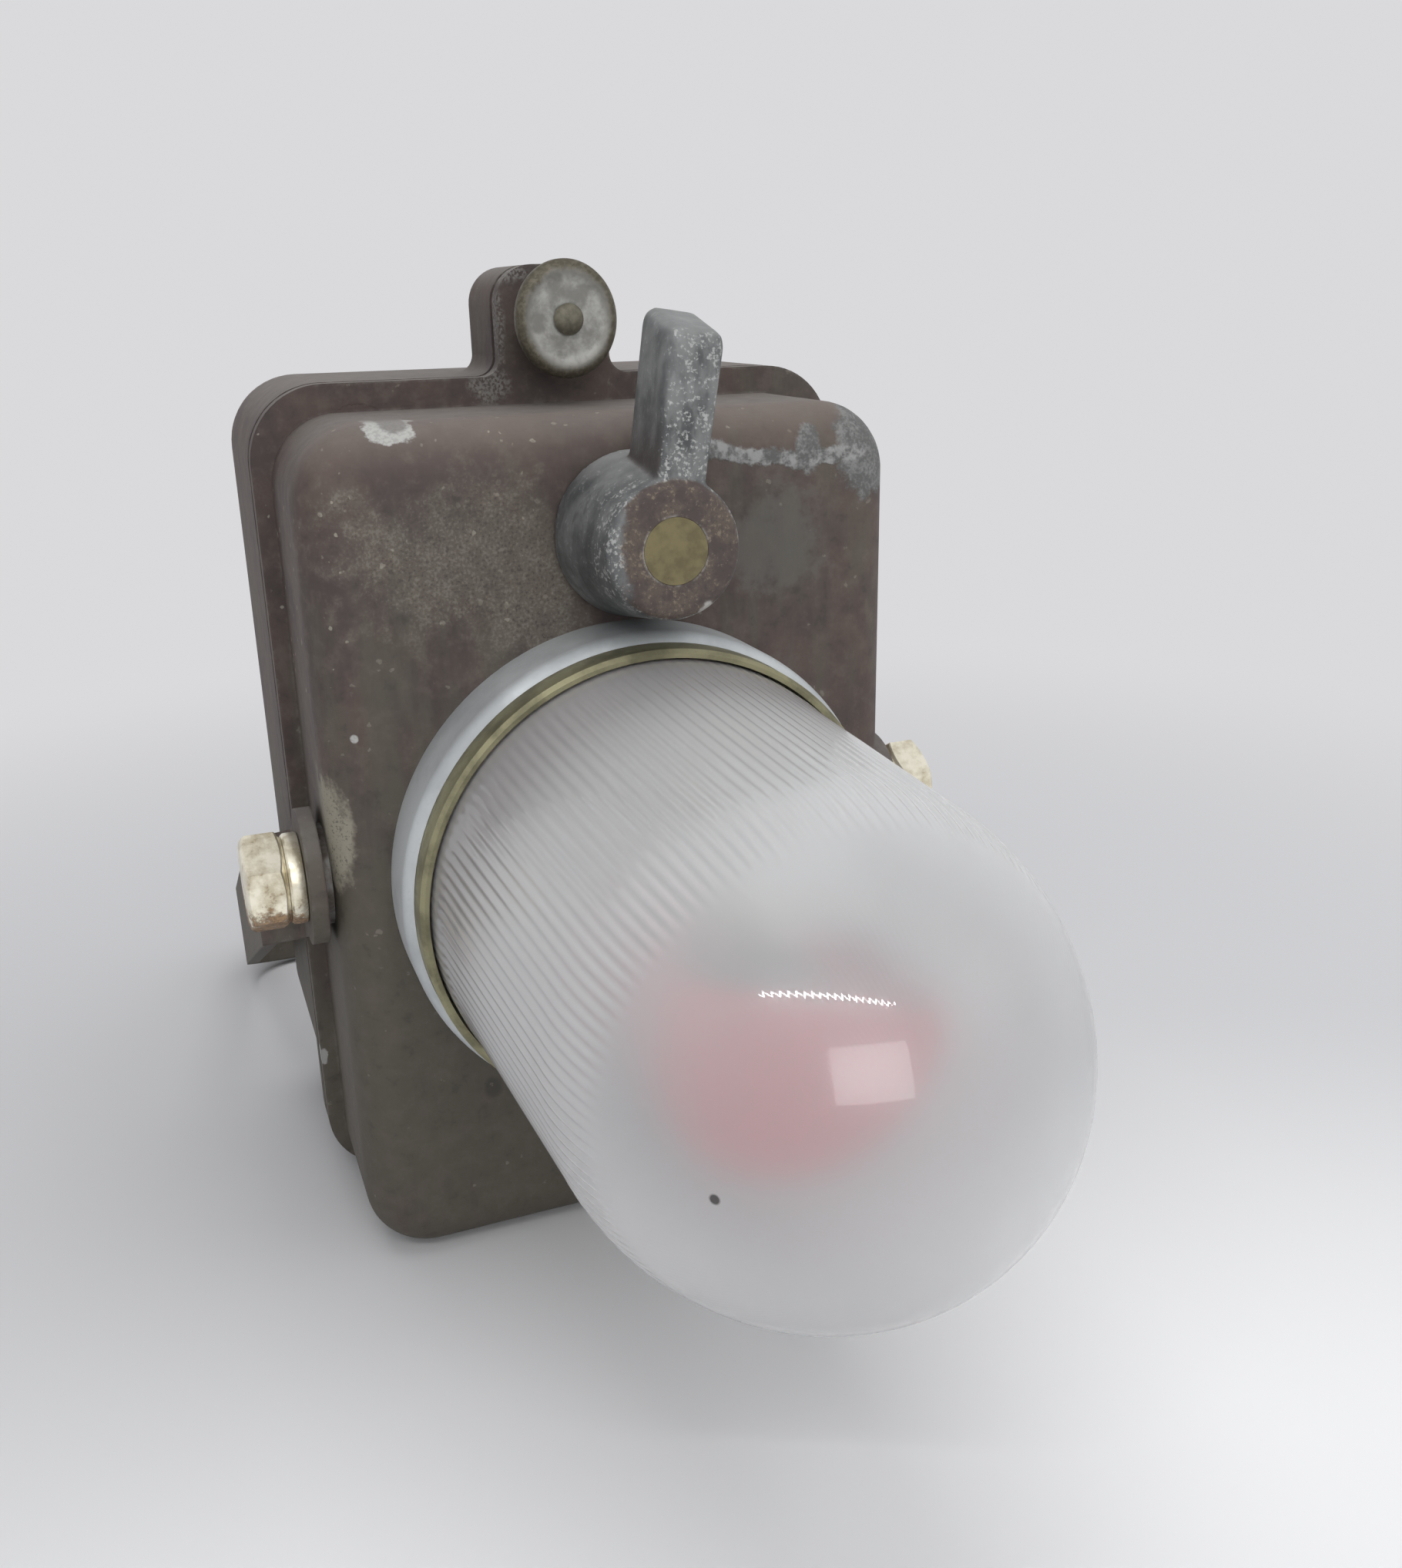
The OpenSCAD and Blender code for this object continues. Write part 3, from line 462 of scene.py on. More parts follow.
def rusty_zinc():
    """Straw-coloured zinc on the side bolts, with rust that gathers low down."""
    f = Finish("rusty_zinc")
    stain = f.noise(260, 5, 0.65)
    grain = f.noise(1500, 4, 0.65)
    colour = f.mix(f.step(stain, 0.36, 0.64), (0.98, 0.93, 0.77), (0.65, 0.58, 0.42))
    low = f.step(f.z, AXIS_Z + 1 * MM, AXIS_Z - 7 * MM)
    edge = f.edges(0.6 * MM, 0.02, 0.2)
    rust = f.step(stain * 0.6 + grain * 0.4 + low * 0.27 + edge * 0.06, 0.56, 0.7)
    rusty = f.mix(f.step(grain, 0.4, 0.65), (0.11, 0.055, 0.03), (0.33, 0.19, 0.09))
    colour = f.mix(rust * 0.88, colour, rusty)
    return f.surface({
        "Base Color": colour,
        "Roughness": 0.26 + rust * 0.5 + grain * 0.08,
        "Metallic": 0.8 - rust * 0.75,
        "Normal": f.relief(rust * 0.7 + grain * 0.3, 0.4, 0.2 * MM),
    })


def knob_finish():
    """Blotchy grey face inside a darker brassy rim."""
    f = Finish("knob_zinc")
    stain = f.noise(300, 4, 0.6)
    grain = f.noise(1600, 3, 0.6)
    across = (f.x - SCREW.x) / (8.2 * MM)
    up = (f.z - SCREW.z) / (8.95 * MM)
    out = (across * across + up * up).root()
    face = f.mix(f.step(stain, 0.36, 0.66), (0.24, 0.235, 0.213), (0.45, 0.446, 0.42))
    rim = f.mix(f.step(grain, 0.4, 0.65), (0.1, 0.089, 0.064), (0.155, 0.139, 0.102))
    rim_share = f.step(out + (stain - 0.5) * 0.35, 0.7, 0.92)
    colour = f.mix(rim_share, face, rim)
    return f.surface({
        "Base Color": colour,
        "Roughness": 0.42 + stain * 0.2,
        "Metallic": 0.6,
        "Normal": f.relief(stain * 0.5 + grain * 0.5, 0.3, 0.2 * MM),
    })


def frosted_glass():
    """Hazy glass with a clear, glossy skin; towards its foot painted shade darkens it to a rosy grey."""
    f = Finish("frosted_glass")
    mist = f.noise(90, 4, 0.6)
    height = (FACE_Y - f.y) / MM
    over = (height - GLASS_STRAIGHT).most(0.0) / (GLASS_TIP - GLASS_STRAIGHT)
    under = (GLASS_STRAIGHT - height).most(0.0)
    wide = GLASS_END_R + under * ((GLASS_R - GLASS_END_R) / (GLASS_STRAIGHT - GLASS_BEAD_TOP))
    up = f.z - AXIS_Z
    across = (f.x * f.x + up * up).root() / MM / wide
    inside = f.step((across * across + over * over).root(), 0.965, 0.945)
    # Painted shade: the glass darkens towards its foot, where the collar shades it and the inside is dark.
    foot = f.step(height, 46.0, 12.0)
    colour = f.mix(f.step(height, 66.0, 84.0), (0.945, 0.95, 0.95), (0.95, 0.96, 0.965))
    colour = f.mix(foot * 0.85, colour, (0.6, 0.575, 0.578))
    bubble = f.from_point((BUBBLE_X * MM, FACE_Y - BUBBLE_HEIGHT * MM, AXIS_Z))
    colour = f.mix(f.step(bubble, 0.75 * MM, 0.45 * MM), colour, (0.02, 0.018, 0.015))
    ribbed = f.step(height, RIB_END + 5.0, RIB_END - 2.0)
    rough = 0.3 + ribbed * 0.05 - inside * 0.1 + mist * 0.02
    common = {"Base Color": colour, "Roughness": rough, "IOR": 1.45, "Coat Weight": 0.85, "Coat Roughness": 0.01}
    body = f.add("ShaderNodeBsdfPrincipled", None, {**common, "Transmission Weight": 0.64})[0]
    end = f.add("ShaderNodeBsdfPrincipled", None, {**common, "Transmission Weight": 0.81})[0]
    both = f.add("ShaderNodeMixShader", None, {0: f.step(height, 68.0, 95.0), 1: body, 2: end})[0]
    f.add("ShaderNodeOutputMaterial", None, {"Surface": both})
    return f.material


def clear_glass():
    f = Finish("clear_glass")
    smear = f.noise(200, 3, 0.5)
    return f.surface({
        "Base Color": f.mix(smear * 0.2, (0.98, 0.98, 0.97), (0.9, 0.89, 0.86)),
        "Roughness": 0.03 + smear * 0.05,
        "IOR": 1.5,
        "Transmission Weight": 1.0,
    })


def red_plastic():
    f = Finish("red_plastic")
    cloud = f.noise(120, 3, 0.5)
    return f.surface({
        "Base Color": f.mix(f.step(cloud, 0.3, 0.7), (0.66, 0.016, 0.035), (0.72, 0.026, 0.05)),
        "Roughness": 0.28 + cloud * 0.1,
        "IOR": 1.49,
        "Transmission Weight": 0.1,
    })


def dull(name, first, second, scale=240, rough=0.7):
    """Card, rubber, felt and moulded insulation."""
    f = Finish(name)
    cloud = f.noise(scale, 4, 0.6)
    grain = f.noise(scale * 9, 3, 0.6)
    return f.surface({
        "Base Color": f.mix(f.step(cloud * 0.5 + grain * 0.5, 0.35, 0.65), first, second),
        "Roughness": rough + grain * 0.15,
        "Normal": f.relief(cloud * 0.3 + grain * 0.7, 0.35, 0.15 * MM),
    })


front_paint = marked_paint("front_paint", 0.0, 0.45)
rear_paint = old_paint("rear_paint", 0.02, 0.5)
bail_paint = old_paint("bail_paint", -0.02, 0.7)
lever_finish = lever_metal()
collar_plate = plated("collar_plate", (0.58, 0.605, 0.615), (0.45, 0.47, 0.48), 0.42, 0.45, 60)
ring_brass = plated("ring_brass", (0.34, 0.32, 0.2), (0.2, 0.188, 0.118), 0.4, 0.8)
pin_brass = plated("pin_brass", (0.225, 0.19, 0.098), (0.16, 0.134, 0.07), 0.55, 0.4, 420)
rivet_brass = plated("rivet_brass", (0.2, 0.185, 0.14), (0.11, 0.1, 0.075), 0.48, 0.5, 420)
inner_brass = plated("inner_brass", (0.62, 0.47, 0.2), (0.45, 0.32, 0.13), 0.3, 0.95)
nickel = plated("nickel", (0.66, 0.64, 0.58), (0.5, 0.48, 0.43), 0.25, 0.95)
dark_steel = plated("dark_steel", (0.2, 0.19, 0.18), (0.09, 0.075, 0.06), 0.45, 0.7, 320)
bolt_zinc = rusty_zinc()
knob_zinc = knob_finish()
glass_finish = frosted_glass()
bulb_glass = clear_glass()
filter_red = red_plastic()
enamel = dull("white_enamel", (0.78, 0.78, 0.76), (0.7, 0.7, 0.67), 120, 0.3)
aluminium = plated("bare_aluminium", (0.66, 0.67, 0.68), (0.52, 0.53, 0.54), 0.35, 0.9)
rubber = dull("seal_rubber", (0.02, 0.02, 0.02), (0.035, 0.033, 0.03), 300, 0.7)
felt = dull("grey_felt", (0.07, 0.068, 0.065), (0.13, 0.125, 0.12), 500, 0.85)
insulation = dull("brown_insulation", (0.08, 0.04, 0.02), (0.13, 0.07, 0.035), 260, 0.5)
card = dull("battery_card", (0.05, 0.1, 0.2), (0.08, 0.14, 0.26), 160, 0.6)

DRESS = {
    front_paint: ["front_housing"],
    rear_paint: ["rear_case"],
    bail_paint: ["handle_bail"],
    rubber: ["case_seal", "glass_seal"],
    collar_plate: ["bezel_collar"],
    ring_brass: ["glass_clamp_ring"],
    pin_brass: ["lever_shaft"],
    rivet_brass: ["closing_screw"],
    inner_brass: ["lamp_socket", "bulb_cap", "shaft_bush", "contact_springs", "battery_contacts",
                  "battery_strips"],
    nickel: ["bezel_lock_ring", "shaft_clip", "plate_screws", "rotor_screw", "battery_strap"],
    dark_steel: ["bolt_spacers"],
    bolt_zinc: ["side_bolts", "bolt_collars"],
    knob_zinc: ["thumb_knob"],
    lever_finish: ["switch_lever"],
    glass_finish: ["glass_dome"],
    bulb_glass: ["bulb_globe"],
    filter_red: ["red_filter"],
    enamel: ["reflector_disc"],
    aluminium: ["lamp_post"],
    felt: ["felt_washer"],
    insulation: ["lamp_plate", "socket_insulator", "switch_rotor", "contact_blocks"],
    card: ["battery"],
}
for finish, dressed in DRESS.items():
    for name in dressed:
        for material_slot in nodes[name].material_slots:
            material_slot.link = "OBJECT"
            material_slot.material = finish


def new_piece(name, points, faces):
    mesh = bpy.data.meshes.new(name)
    mesh.from_pydata(points, [], faces)
    piece = bpy.data.objects.new(name, mesh)
    bpy.context.scene.collection.objects.link(piece)
    return piece


def settle(piece, smooth_angle=None):
    """Makes the modified shape the piece's own mesh, with its normals outwards."""
    bpy.context.view_layer.update()
    shown = piece.evaluated_get(bpy.context.evaluated_depsgraph_get())
    mesh = bpy.data.meshes.new_from_object(shown)
    piece.modifiers.clear()
    piece.data = mesh
    work = bmesh.new()
    work.from_mesh(mesh)
    bmesh.ops.recalc_face_normals(work, faces=work.faces)
    work.to_mesh(mesh)
    work.free()
    mesh.shade_smooth()
    if smooth_angle:
        mesh.set_sharp_from_angle(angle=math.radians(smooth_angle))
    return piece


def stand_for(piece, node, body, finish):
    piece.data.materials.clear()
    piece.data.materials.append(finish)
    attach(piece, body)
    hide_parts(node)


class Shaper(Sheet):
    """A Geometry Nodes tree with named inputs."""

    def __init__(self, name, inputs):
        tree = bpy.data.node_groups.new(name, "GeometryNodeTree")
        super().__init__(tree)
        face = tree.interface
        face.new_socket(name="Geometry", in_out="INPUT", socket_type="NodeSocketGeometry")
        self.keys = {}
        for label, kind in inputs.items():
            self.keys[label] = face.new_socket(name=label, in_out="INPUT", socket_type=kind).identifier
        face.new_socket(name="Geometry", in_out="OUTPUT", socket_type="NodeSocketGeometry")
        self.given = self.add("NodeGroupInput")

    def close(self, shape, material):
        shape = self.add("GeometryNodeRealizeInstances", None, {0: shape})[0]
        shape = self.add("GeometryNodeSetMaterial", None, {"Geometry": shape, "Material": material})[0]
        self.add("NodeGroupOutput", None, {0: shape})

    def apply(self, piece, values):
        modifier = piece.modifiers.new("shape", "NODES")
        modifier.node_group = self.tree
        for label, value in values.items():
            modifier[self.keys[label]] = value
        return settle(piece)


# Ribbed glass: a turned profile whose outside carries fine lengthwise ribs
def glass_end():
    """Rows of the outer end, from its tip to its straight part, over which the ribs fade out."""
    rise = GLASS_TIP - GLASS_STRAIGHT
    rib_turn = math.degrees(math.asin((RIB_END - GLASS_STRAIGHT) / rise))
    fade_low, fade_high = rib_turn - RIB_FADE_BELOW, rib_turn + RIB_FADE_ABOVE
    fade_step = (fade_high - fade_low) / RIB_FADE_ROWS
    turns = [90] + [turn for turn in (88 - 2.5 * k for k in range(26)) if turn > fade_high + 1]
    turns += [fade_high - fade_step * k for k in range(RIB_FADE_ROWS + 1)]
    turns += [turn for turn in range(15, -1, -3) if turn < fade_low - 1]
    rows = []
    for turn in turns:
        a = math.radians(turn)
        fade = min(max((fade_high - turn) / (fade_high - fade_low), 0.0), 1.0)
        share = 0.5 - 0.5 * math.cos(math.pi * fade)
        if fade_high + RIPPLE_GAP < turn < RIPPLE_TOP:
            share = -RIPPLE_SHARE
        rows.append((GLASS_END_R * math.cos(a), GLASS_STRAIGHT + rise * math.sin(a), share))
    return rows


def glass_profile():
    """Radius, height above the face and share of the rib depth (below 0: faint ripples of half the width),
    from the outer tip to the inner tip."""
    rows = glass_end()
    slope = (GLASS_R - GLASS_END_R) / (GLASS_STRAIGHT - GLASS_BEAD_TOP)
    for height, share in ((50, 1), (38, 1), (27, 1), (RIB_START + RIB_RUN_IN, 1), (RIB_START, 0), (6.6, 0)):
        band = PLAIN_BAND if height <= RIB_START else 0.0
        rows.append((GLASS_END_R + slope * (GLASS_STRAIGHT - height) + band, height, share))
    inner_r, inner_end_r = GLASS_R - GLASS_WALL, GLASS_END_R - GLASS_WALL
    rows += [(GLASS_R, GLASS_BEAD_TOP, 0), (GLASS_BEAD_R, GLASS_BEAD_TOP, 0), (GLASS_BEAD_R, GLASS_FOOT, 0),
             (inner_r, GLASS_FOOT, 0)]
    inner_slope = (inner_r - inner_end_r) / (GLASS_STRAIGHT - GLASS_FOOT)
    for height in (GLASS_FOOT + 0.6, 10, 24, 44):
        rows.append((inner_r - inner_slope * (height - GLASS_FOOT), height, 0))
    inner_rise = GLASS_TIP - GLASS_WALL - GLASS_STRAIGHT
    for turn in range(0, 91, 5):
        a = math.radians(turn)
        rows.append((inner_end_r * math.cos(a), GLASS_STRAIGHT + inner_rise * math.sin(a), 0))
    return rows


def ribbed_glass():
    rows = glass_profile()
    shaper = Shaper("ribbed_glass", {
        "Rows": "NodeSocketInt",
        "Ribs": "NodeSocketInt",
        "Steps per rib": "NodeSocketInt",
        "Rib depth": "NodeSocketFloat",
        "Face": "NodeSocketFloat",
        "Axis height": "NodeSocketFloat",
    })
    given = shaper.given
    count = given["Rows"]
    columns = given["Ribs"] * given["Steps per rib"]
    grid = shaper.add("GeometryNodeMeshGrid", None,
                      {"Size X": 1.0, "Size Y": 1.0, "Vertices X": columns + 1, "Vertices Y": count})["Mesh"]
    here = shaper.add("GeometryNodeInputPosition")[0]
    split = shaper.add("ShaderNodeSeparateXYZ", None, {0: here})
    turn = (split[0] + 0.5) * (2 * math.pi)
    row = ((split[1] + 0.5) * (count - 1)).rounded()
    sample = shaper.add("GeometryNodeSampleIndex", {"data_type": "FLOAT_VECTOR", "domain": "POINT"},
                        {"Geometry": given["Geometry"], "Value": here, "Index": row})[0]
    point = shaper.add("ShaderNodeSeparateXYZ", None, {0: sample})
    wave = (turn * given["Ribs"]).cosine() * -0.5
    ripple = (turn * given["Ribs"]).sine().size()
    hollow = wave * point[2].most(0.0) - ripple * point[2].least(0.0)
    radius = point[0] - hollow * given["Rib depth"]
    placed = shaper.add("ShaderNodeCombineXYZ", None, {
        0: radius * turn.cosine(),
        1: given["Face"] - point[1],
        2: given["Axis height"] + radius * turn.sine(),
    })[0]
    shape = shaper.add("GeometryNodeSetPosition", None, {"Geometry": grid, "Position": placed})[0]
    shape = shaper.add("GeometryNodeMergeByDistance", None, {"Geometry": shape, "Distance": 0.002 * MM})[0]
    shaper.close(shape, glass_finish)
    points = [(r * MM, h * MM, share) for r, h, share in rows]
    piece = new_piece("ribbed_glass", points, [])
    shaper.apply(piece, {
        "Rows": len(rows), "Ribs": RIB_COUNT, "Steps per rib": RIB_STEPS, "Rib depth": RIB_DEPTH * MM,
        "Face": FACE_Y, "Axis height": AXIS_Z,
    })
    stand_for(piece, "glass_dome", "case", glass_finish)


# Turned pieces
ROUND_STEPS = 96


def round_turns(steps=ROUND_STEPS):
    """Equal turns round a circle, in radians."""
    return [2 * math.pi * i / steps for i in range(steps)]


def turned_faces(rows, closed, steps=ROUND_STEPS):
    """Faces between rows of points, joined end to end or capped."""
    faces = [(k * steps + i, k * steps + (i + 1) % steps,
              (k + 1) % rows * steps + (i + 1) % steps, (k + 1) % rows * steps + i)
             for k in range(rows if closed else rows - 1) for i in range(steps)]
    if not closed:
        faces += [tuple(range(steps)), tuple(range((rows - 1) * steps, rows * steps))]
    return faces


# Side bolts and their collars, set out on both sides
BOLT_FLATS, BOLT_HEAD, BOLT_SHANK_R = 14.0, 6.3, 4.0
HEAD_CHAMFER_R, HEAD_CHAMFER = 6.75, math.radians(28)
SHARP_EDGE = math.radians(28)


def hexagon_bolt(length):
    """Bolt along +X whose head ends at x = 0."""
    slope = math.tan(HEAD_CHAMFER)

    def flats(turn):
        folded = (turn + math.pi / 6) % (math.pi / 3) - math.pi / 6
        return BOLT_FLATS / 2 / math.cos(folded)

    def fall(turn):
        return max(flats(turn) - HEAD_CHAMFER_R, 0) * slope

    rings = [
        (lambda t: -length, lambda t: BOLT_SHANK_R - 0.5),
        (lambda t: -length + 0.5, lambda t: BOLT_SHANK_R),
        (lambda t: -BOLT_HEAD, lambda t: BOLT_SHANK_R),
        (lambda t: -BOLT_HEAD, lambda t: HEAD_CHAMFER_R - 0.1),
        (lambda t: -BOLT_HEAD + 0.2, lambda t: HEAD_CHAMFER_R),
        (lambda t: -BOLT_HEAD + 0.2 + fall(t) * 0.8, lambda t: flats(t) - 0.15),
        (lambda t: -BOLT_HEAD + 0.45 + fall(t) * 0.8, flats),
        (lambda t: -0.3 - fall(t), flats),
        (lambda t: -0.08 - fall(t) * 0.75, lambda t: flats(t) - 0.3),
        (lambda t: 0.0, lambda t: HEAD_CHAMFER_R - 0.6),
    ]
    points = []
    for x_of, r_of in rings:
        for t in round_turns():
            points.append((x_of(t) * MM, r_of(t) * math.cos(t) * MM, r_of(t) * math.sin(t) * MM))
    return points, turned_faces(len(rings), False)


def pair_up(name, points, faces, reach, finish):
    """Sets a piece out on the right and, turned round, on the left."""
    shaper = Shaper(name, {
        "Reach": "NodeSocketFloat",
        "Across": "NodeSocketVector",
    })
    given = shaper.given
    copies = shaper.add("GeometryNodeJoinGeometry")
    for side, turn in ((1.0, (0.0, 0.0, 0.0)), (-1.0, (0.0, 0.0, math.pi))):
        shift = shaper.add("ShaderNodeCombineXYZ", None, {0: given["Reach"] * side})[0]
        place = shaper.add("ShaderNodeVectorMath", {"operation": "ADD"}, {0: shift, 1: given["Across"]})[0]
        spot = shaper.add("GeometryNodeMeshLine", None, {"Count": 1, "Start Location": place})[0]
        copy = shaper.add("GeometryNodeInstanceOnPoints", None,
                          {"Points": spot, "Instance": given["Geometry"], "Rotation": turn})[0]
        shaper.join(copy, copies.node.inputs[0])
    shaper.close(copies[0], finish)
    piece = new_piece(name, points, faces)
    shaper.apply(piece, {"Reach": reach, "Across": (0.0, BOLT.y, BOLT.z)})
    piece.data.set_sharp_from_angle(angle=SHARP_EDGE)
    return piece


def inner_end(node):
    return min(abs(v.co.x) for v in nodes[node].data.vertices)


def side_bolts():
    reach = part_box("side_bolts")[1].x
    points, faces = hexagon_bolt((reach - inner_end("side_bolts")) / MM)
    piece = pair_up("hexagon_bolts", points, faces, reach, bolt_zinc)
    stand_for(piece, "side_bolts", "case", bolt_zinc)


def bolt_collars():
    low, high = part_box("bolt_collars")
    radius = (high.z - low.z) / 2 / MM
    thick = (high.x - inner_end("bolt_collars")) / MM
    bore = BOLT_SHANK_R + 0.1
    profile = [(bore, 0.0), (radius - 0.9, 0.0), (radius - 0.35, -0.12), (radius - 0.06, -0.45), (radius, -0.9),
               (radius, -thick + 0.5), (radius - 0.15, -thick + 0.12), (radius - 0.5, -thick), (bore, -thick)]
    points = [(x * MM, r * math.cos(t) * MM, r * math.sin(t) * MM) for r, x in profile for t in round_turns()]
    piece = pair_up("rounded_collars", points, turned_faces(len(profile), True), high.x, bolt_zinc)
    stand_for(piece, "bolt_collars", "case", bolt_zinc)


# Thumb knob: a turned oval button with a dished face and a neck
def thumb_knob():
    low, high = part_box("thumb_knob")
    half_w = (high.x - low.x) / 2 / MM
    half_h = (high.z - low.z) / 2 / MM
    length = (high.y - low.y) / MM
    bore, neck, disc = 2.1, 5.0, 2.7
    profile = [(bore, 0.45), (5.4, 0.45), (6.0, 0.38), (6.5, 0.12), (6.9, 0.0), (7.35, 0.06),
               (half_w - 0.35, 0.45), (half_w - 0.08, 0.85), (half_w, 1.3), (half_w, disc - 0.6),
               (half_w - 0.25, disc - 0.15), (half_w - 0.8, disc), (neck + 0.8, disc), (neck + 0.2, disc + 0.25),
               (neck, disc + 0.9), (neck, length), (bore, length)]
    points = []
    for r, back in profile:
        spread = min(max((r - neck) / (half_w - neck), 0.0), 1.0) * (half_h / half_w - 1) + 1
        for t in round_turns():
            points.append((SCREW.x + r * MM * math.cos(t), low.y + back * MM, SCREW.z + r * MM * math.sin(t) * spread))
    piece = settle(new_piece("oval_knob", points, turned_faces(len(profile), True)), 50)
    stand_for(piece, "thumb_knob", "knob", knob_zinc)


# Switch lever: cone-shaped hub and flared arm, run together like a casting
HUB_FOOT_R, HUB_FACE_R, HUB_LOW, HUB_HIGH = 12.5, 9.7, 0.55, 18.55
ARM_LEAN, ARM_LEN, ARM_ROOT, ARM_W, ARM_TIP_W = math.radians(9), 32.0, 12.0, 6.8, 8.6
ARM_BACK, ARM_FRONT, ARM_DROP, ARM_TIP_R = 4.55, 17.55, 2.2, 2.0
SHAFT_R = 4.75


def lever_point(across, up, out):
    x = across * math.cos(ARM_LEAN) + up * math.sin(ARM_LEAN)
    z = up * math.cos(ARM_LEAN) - across * math.sin(ARM_LEAN)
    return (SHAFT.x + x * MM, FACE_Y - out * MM, SHAFT.z + z * MM)


def turned(name, profile, steps=ROUND_STEPS):
    """Closed turned shape on the lever's axis, from rows of radius and height above the face."""
    points = [lever_point(r * math.cos(t), r * math.sin(t), h) for r, h in profile for t in round_turns(steps)]
    return new_piece(name, points, turned_faces(len(profile), False, steps))


def arm_tip(middle_across, middle_up, middle_out):
    """Points of a small ball at one corner of the arm's end."""
    for a in round_turns(12):
        for b in (math.pi * k / 5 for k in range(-2, 3)):
            yield lever_point(middle_across + ARM_TIP_R * math.cos(a) * math.cos(b),
                              middle_up + ARM_TIP_R * math.sin(b),
                              middle_out + ARM_TIP_R * math.sin(a) * math.cos(b))


def flared_arm():
    """Mesh of the arm, the hull of its root and of the four rounded corners of its end."""
    points = [lever_point(x, up, out) for x in (-ARM_W / 2, ARM_W / 2) for up in (0.0, ARM_ROOT)
              for out in (ARM_BACK, ARM_FRONT)]
    tip_x, tip_up = ARM_TIP_W / 2 - ARM_TIP_R, ARM_LEN - ARM_TIP_R
    for x in (-tip_x, tip_x):
        points += arm_tip(x, tip_up, ARM_BACK + ARM_TIP_R)
        points += arm_tip(x, tip_up - ARM_DROP, ARM_FRONT - ARM_TIP_R)
    arm = bmesh.new()
    for point in points:
        arm.verts.new(point)
    hull = bmesh.ops.convex_hull(arm, input=arm.verts)
    bmesh.ops.delete(arm, geom=list(set(hull["geom_unused"] + hull["geom_interior"])), context="VERTS")
    mesh = bpy.data.meshes.new("arm")
    arm.to_mesh(mesh)
    arm.free()
    return mesh


def switch_lever():
    hub = turned("hub", [(HUB_FOOT_R, HUB_LOW), (HUB_FACE_R + 0.15, HUB_HIGH - 0.9), (HUB_FACE_R - 0.7, HUB_HIGH)])
    shape = bmesh.new()
    shape.from_mesh(hub.data)
    shape.from_mesh(flared_arm())
    shape.to_mesh(hub.data)
    shape.free()
    remesh = hub.modifiers.new("cast", "REMESH")
    remesh.mode = "VOXEL"
    remesh.voxel_size = 0.35 * MM
    soften = hub.modifiers.new("soften", "SMOOTH")
    soften.factor = 0.5
    soften.iterations = 12
    drill = turned("drill", [(SHAFT_R, HUB_LOW - 2), (SHAFT_R, HUB_HIGH + 2)], 64)
    cut = hub.modifiers.new("bore", "BOOLEAN")
    cut.operation = "DIFFERENCE"
    cut.object = drill
    cut.solver = "EXACT"
    settle(hub, 40)
    bpy.data.objects.remove(drill)
    hub.name = "cast_lever"
    stand_for(hub, "switch_lever", "lever", lever_finish)


ribbed_glass()
side_bolts()
bolt_collars()
thumb_knob()
switch_lever()

# Camera at the photograph's place: its axes are right, up and backwards
RIGHT = Vector((0.929258, -0.368868, -0.020413))
UP = Vector((0.137602, 0.294312, 0.945751))
BACK = Vector((-0.34285, -0.881656, 0.324249))
EYE = Vector((-0.066899, -0.22114, 0.150705))
cam_data = bpy.data.cameras.new("photo_camera")
cam_data.sensor_fit = "AUTO"
cam_data.sensor_width = 36.0
cam_data.lens = 32.785
cam_data.clip_start = 0.01
cam_data.clip_end = 50.0
cam = bpy.data.objects.new("photo_camera", cam_data)
cam.matrix_world = Matrix((
    (RIGHT.x, UP.x, BACK.x, EYE.x),
    (RIGHT.y, UP.y, BACK.y, EYE.y),
    (RIGHT.z, UP.z, BACK.z, EYE.z),
    (0.0, 0.0, 0.0, 1.0)))
bpy.context.scene.collection.objects.link(cam)
bpy.context.scene.camera = cam
bpy.context.scene.view_settings.view_transform = "Standard"

# Plain pale surroundings: soft light all round, a window in front and a ceiling strip
BACKGROUND = (0.7, 0.698, 0.715)


def lamp(name, place, aim, size_x, size_y, power, colour=(1.0, 1.0, 1.0), mirrored=True):
    light = bpy.data.lights.new(name, "AREA")
    light.shape = "RECTANGLE"
    light.size = size_x
    light.size_y = size_y
    light.energy = power
    light.color = colour
    carrier = bpy.data.objects.new(name, light)
    carrier.location = place
    carrier.rotation_euler = (Vector(aim) - Vector(place)).to_track_quat("-Z", "Y").to_euler()
    carrier.visible_glossy = mirrored
    bpy.context.scene.collection.objects.link(carrier)


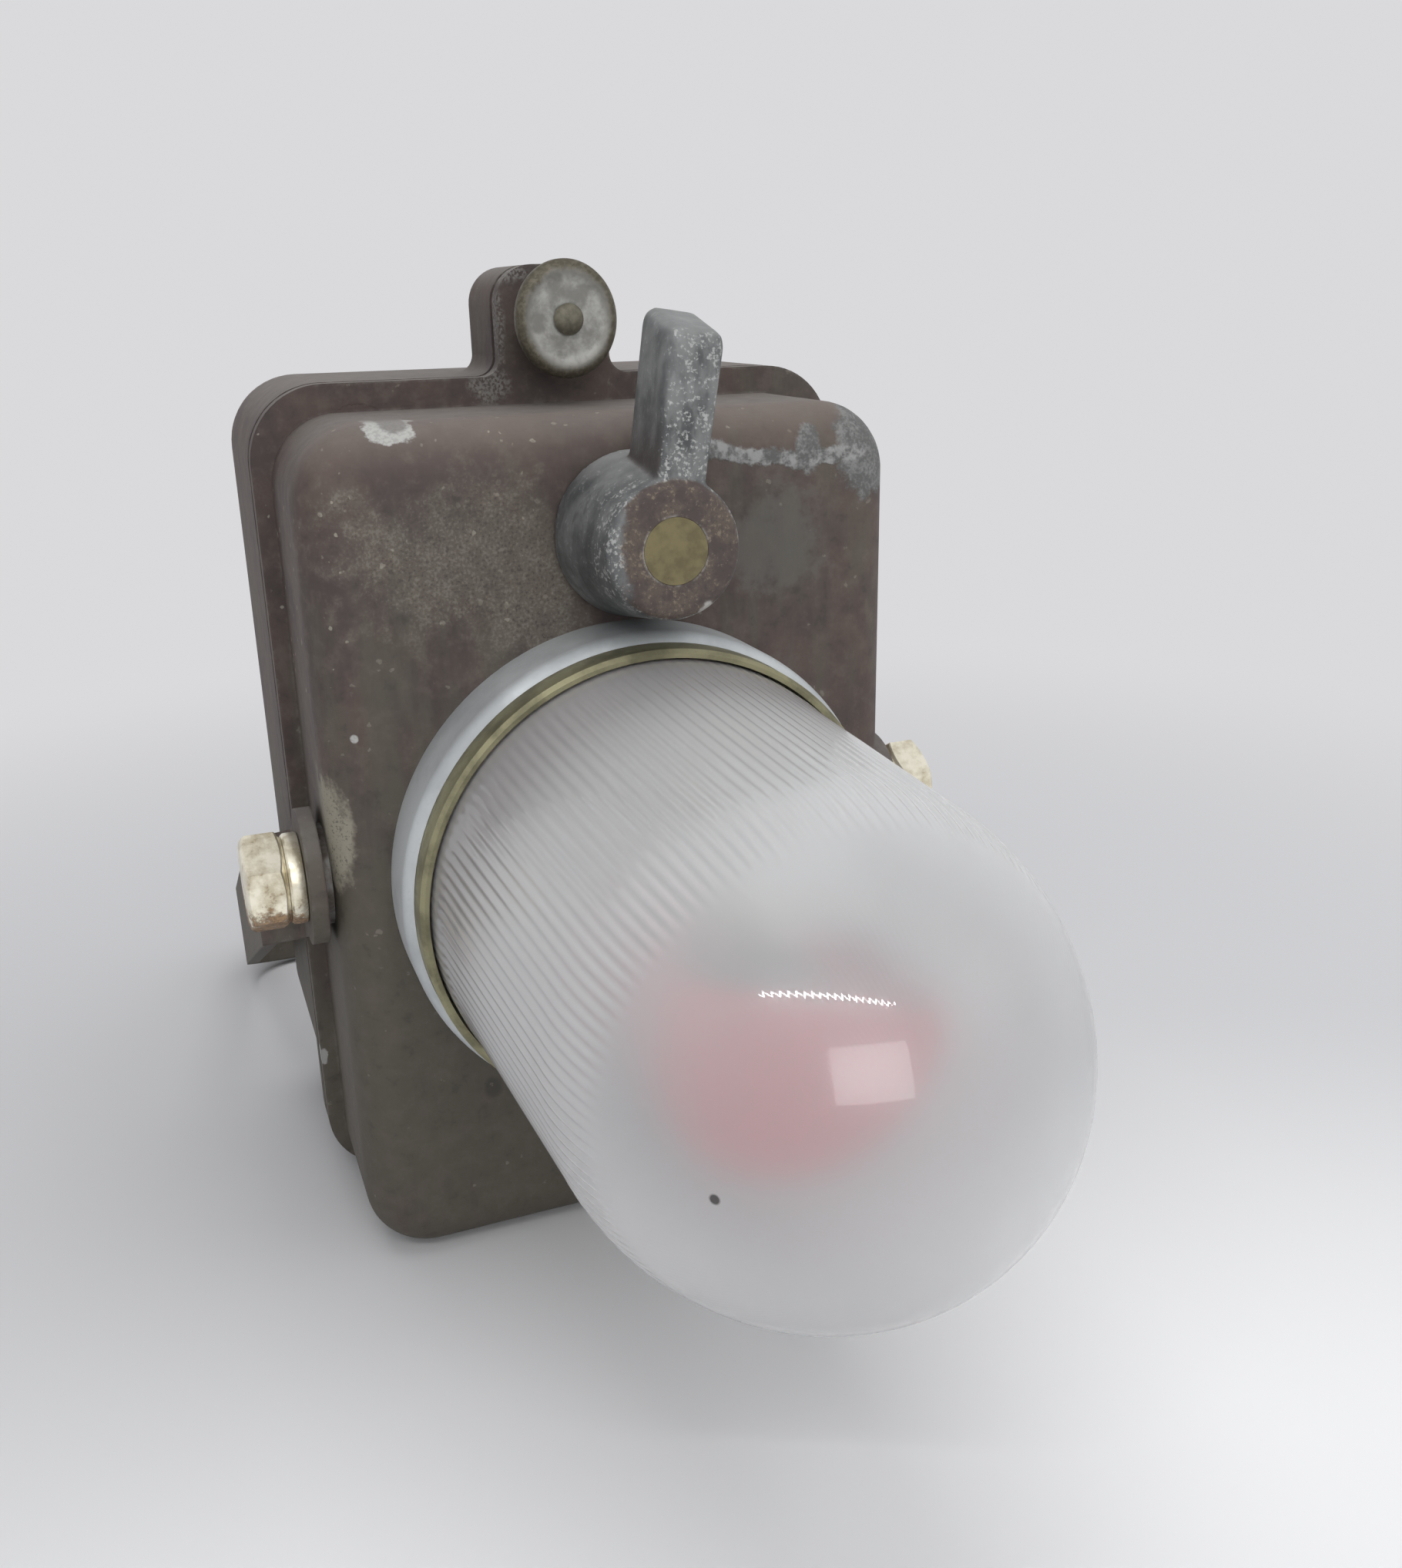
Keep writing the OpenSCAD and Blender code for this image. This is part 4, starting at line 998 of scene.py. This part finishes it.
lamp("window", (-0.14, -1.06, 0.5), (0.0, -0.05, 0.08), 0.62, 0.42, 1.9, (0.96, 0.985, 1.0))
lamp("strip", (-0.32, -0.75, 1.05), (0.0, -0.1, 0.08), 1.16, 0.018, 2.6)
lamp("right_fill", (0.9, -0.6, 1.0), (0.0, 0.0, 0.07), 1.2, 1.2, 3.7, mirrored=False)
lamp("ceiling", (0.0, 0.18, 1.4), (0.0, -0.05, 0.0), 1.1, 1.1, 7.4, mirrored=False)

def seen_directly(sheet):
    """1 for what the camera sees, also in a mirror and through glass."""
    ray = sheet.add("ShaderNodeLightPath")
    return ray["Is Camera Ray"].most(ray["Is Glossy Ray"]).most(ray["Is Transmission Ray"])


world = bpy.data.worlds.new("studio")
world.use_nodes = True
sky = Sheet(world.node_tree)
way = sky.add("ShaderNodeSeparateXYZ", None, {0: sky.add("ShaderNodeTexCoord")["Generated"]})
level = 0.43 + way[0] * 0.16 + way[2] * 0.03 - way[1] * 0.2
soft = sky.add("ShaderNodeBackground", None, {"Color": (0.97, 0.98, 1.0), "Strength": level})[0]
shown = sky.add("ShaderNodeBackground", None, {"Color": BACKGROUND, "Strength": 1.0})[0]
both = sky.add("ShaderNodeMixShader", None, {0: seen_directly(sky), 1: soft, 2: shown})[0]
sky.add("ShaderNodeOutputWorld", None, {"Surface": both})
bpy.context.scene.world = world

table = Finish("pale_table")
far = table.step((table.x * table.x + table.y * table.y).root(), 0.17, 0.42)
bright = table.mix(table.noise(12, 3, 0.5), (0.85, 0.85, 0.86), (0.88, 0.88, 0.89))
# Painted shade: the floor is darker to the sides and behind, to hold back the ceiling lamp's light there.
side = table.step(table.x.size() * 0.5 + table.y, -0.08, 0.08)
paper = table.add("ShaderNodeBsdfDiffuse", None, {"Color": table.mix(side, bright, (0.63, 0.63, 0.645))})[0]
glow = table.add("ShaderNodeEmission", None, {"Color": BACKGROUND, "Strength": 1.0})[0]
blend = table.add("ShaderNodeMixShader", None, {0: far * seen_directly(table), 1: paper, 2: glow})[0]
table.add("ShaderNodeOutputMaterial", None, {"Surface": blend})
floor = new_piece("floor", [(-3, -3, 0), (3, -3, 0), (3, 3, 0), (-3, 3, 0)], [(0, 1, 2, 3)])
floor.data.materials.append(table.material)
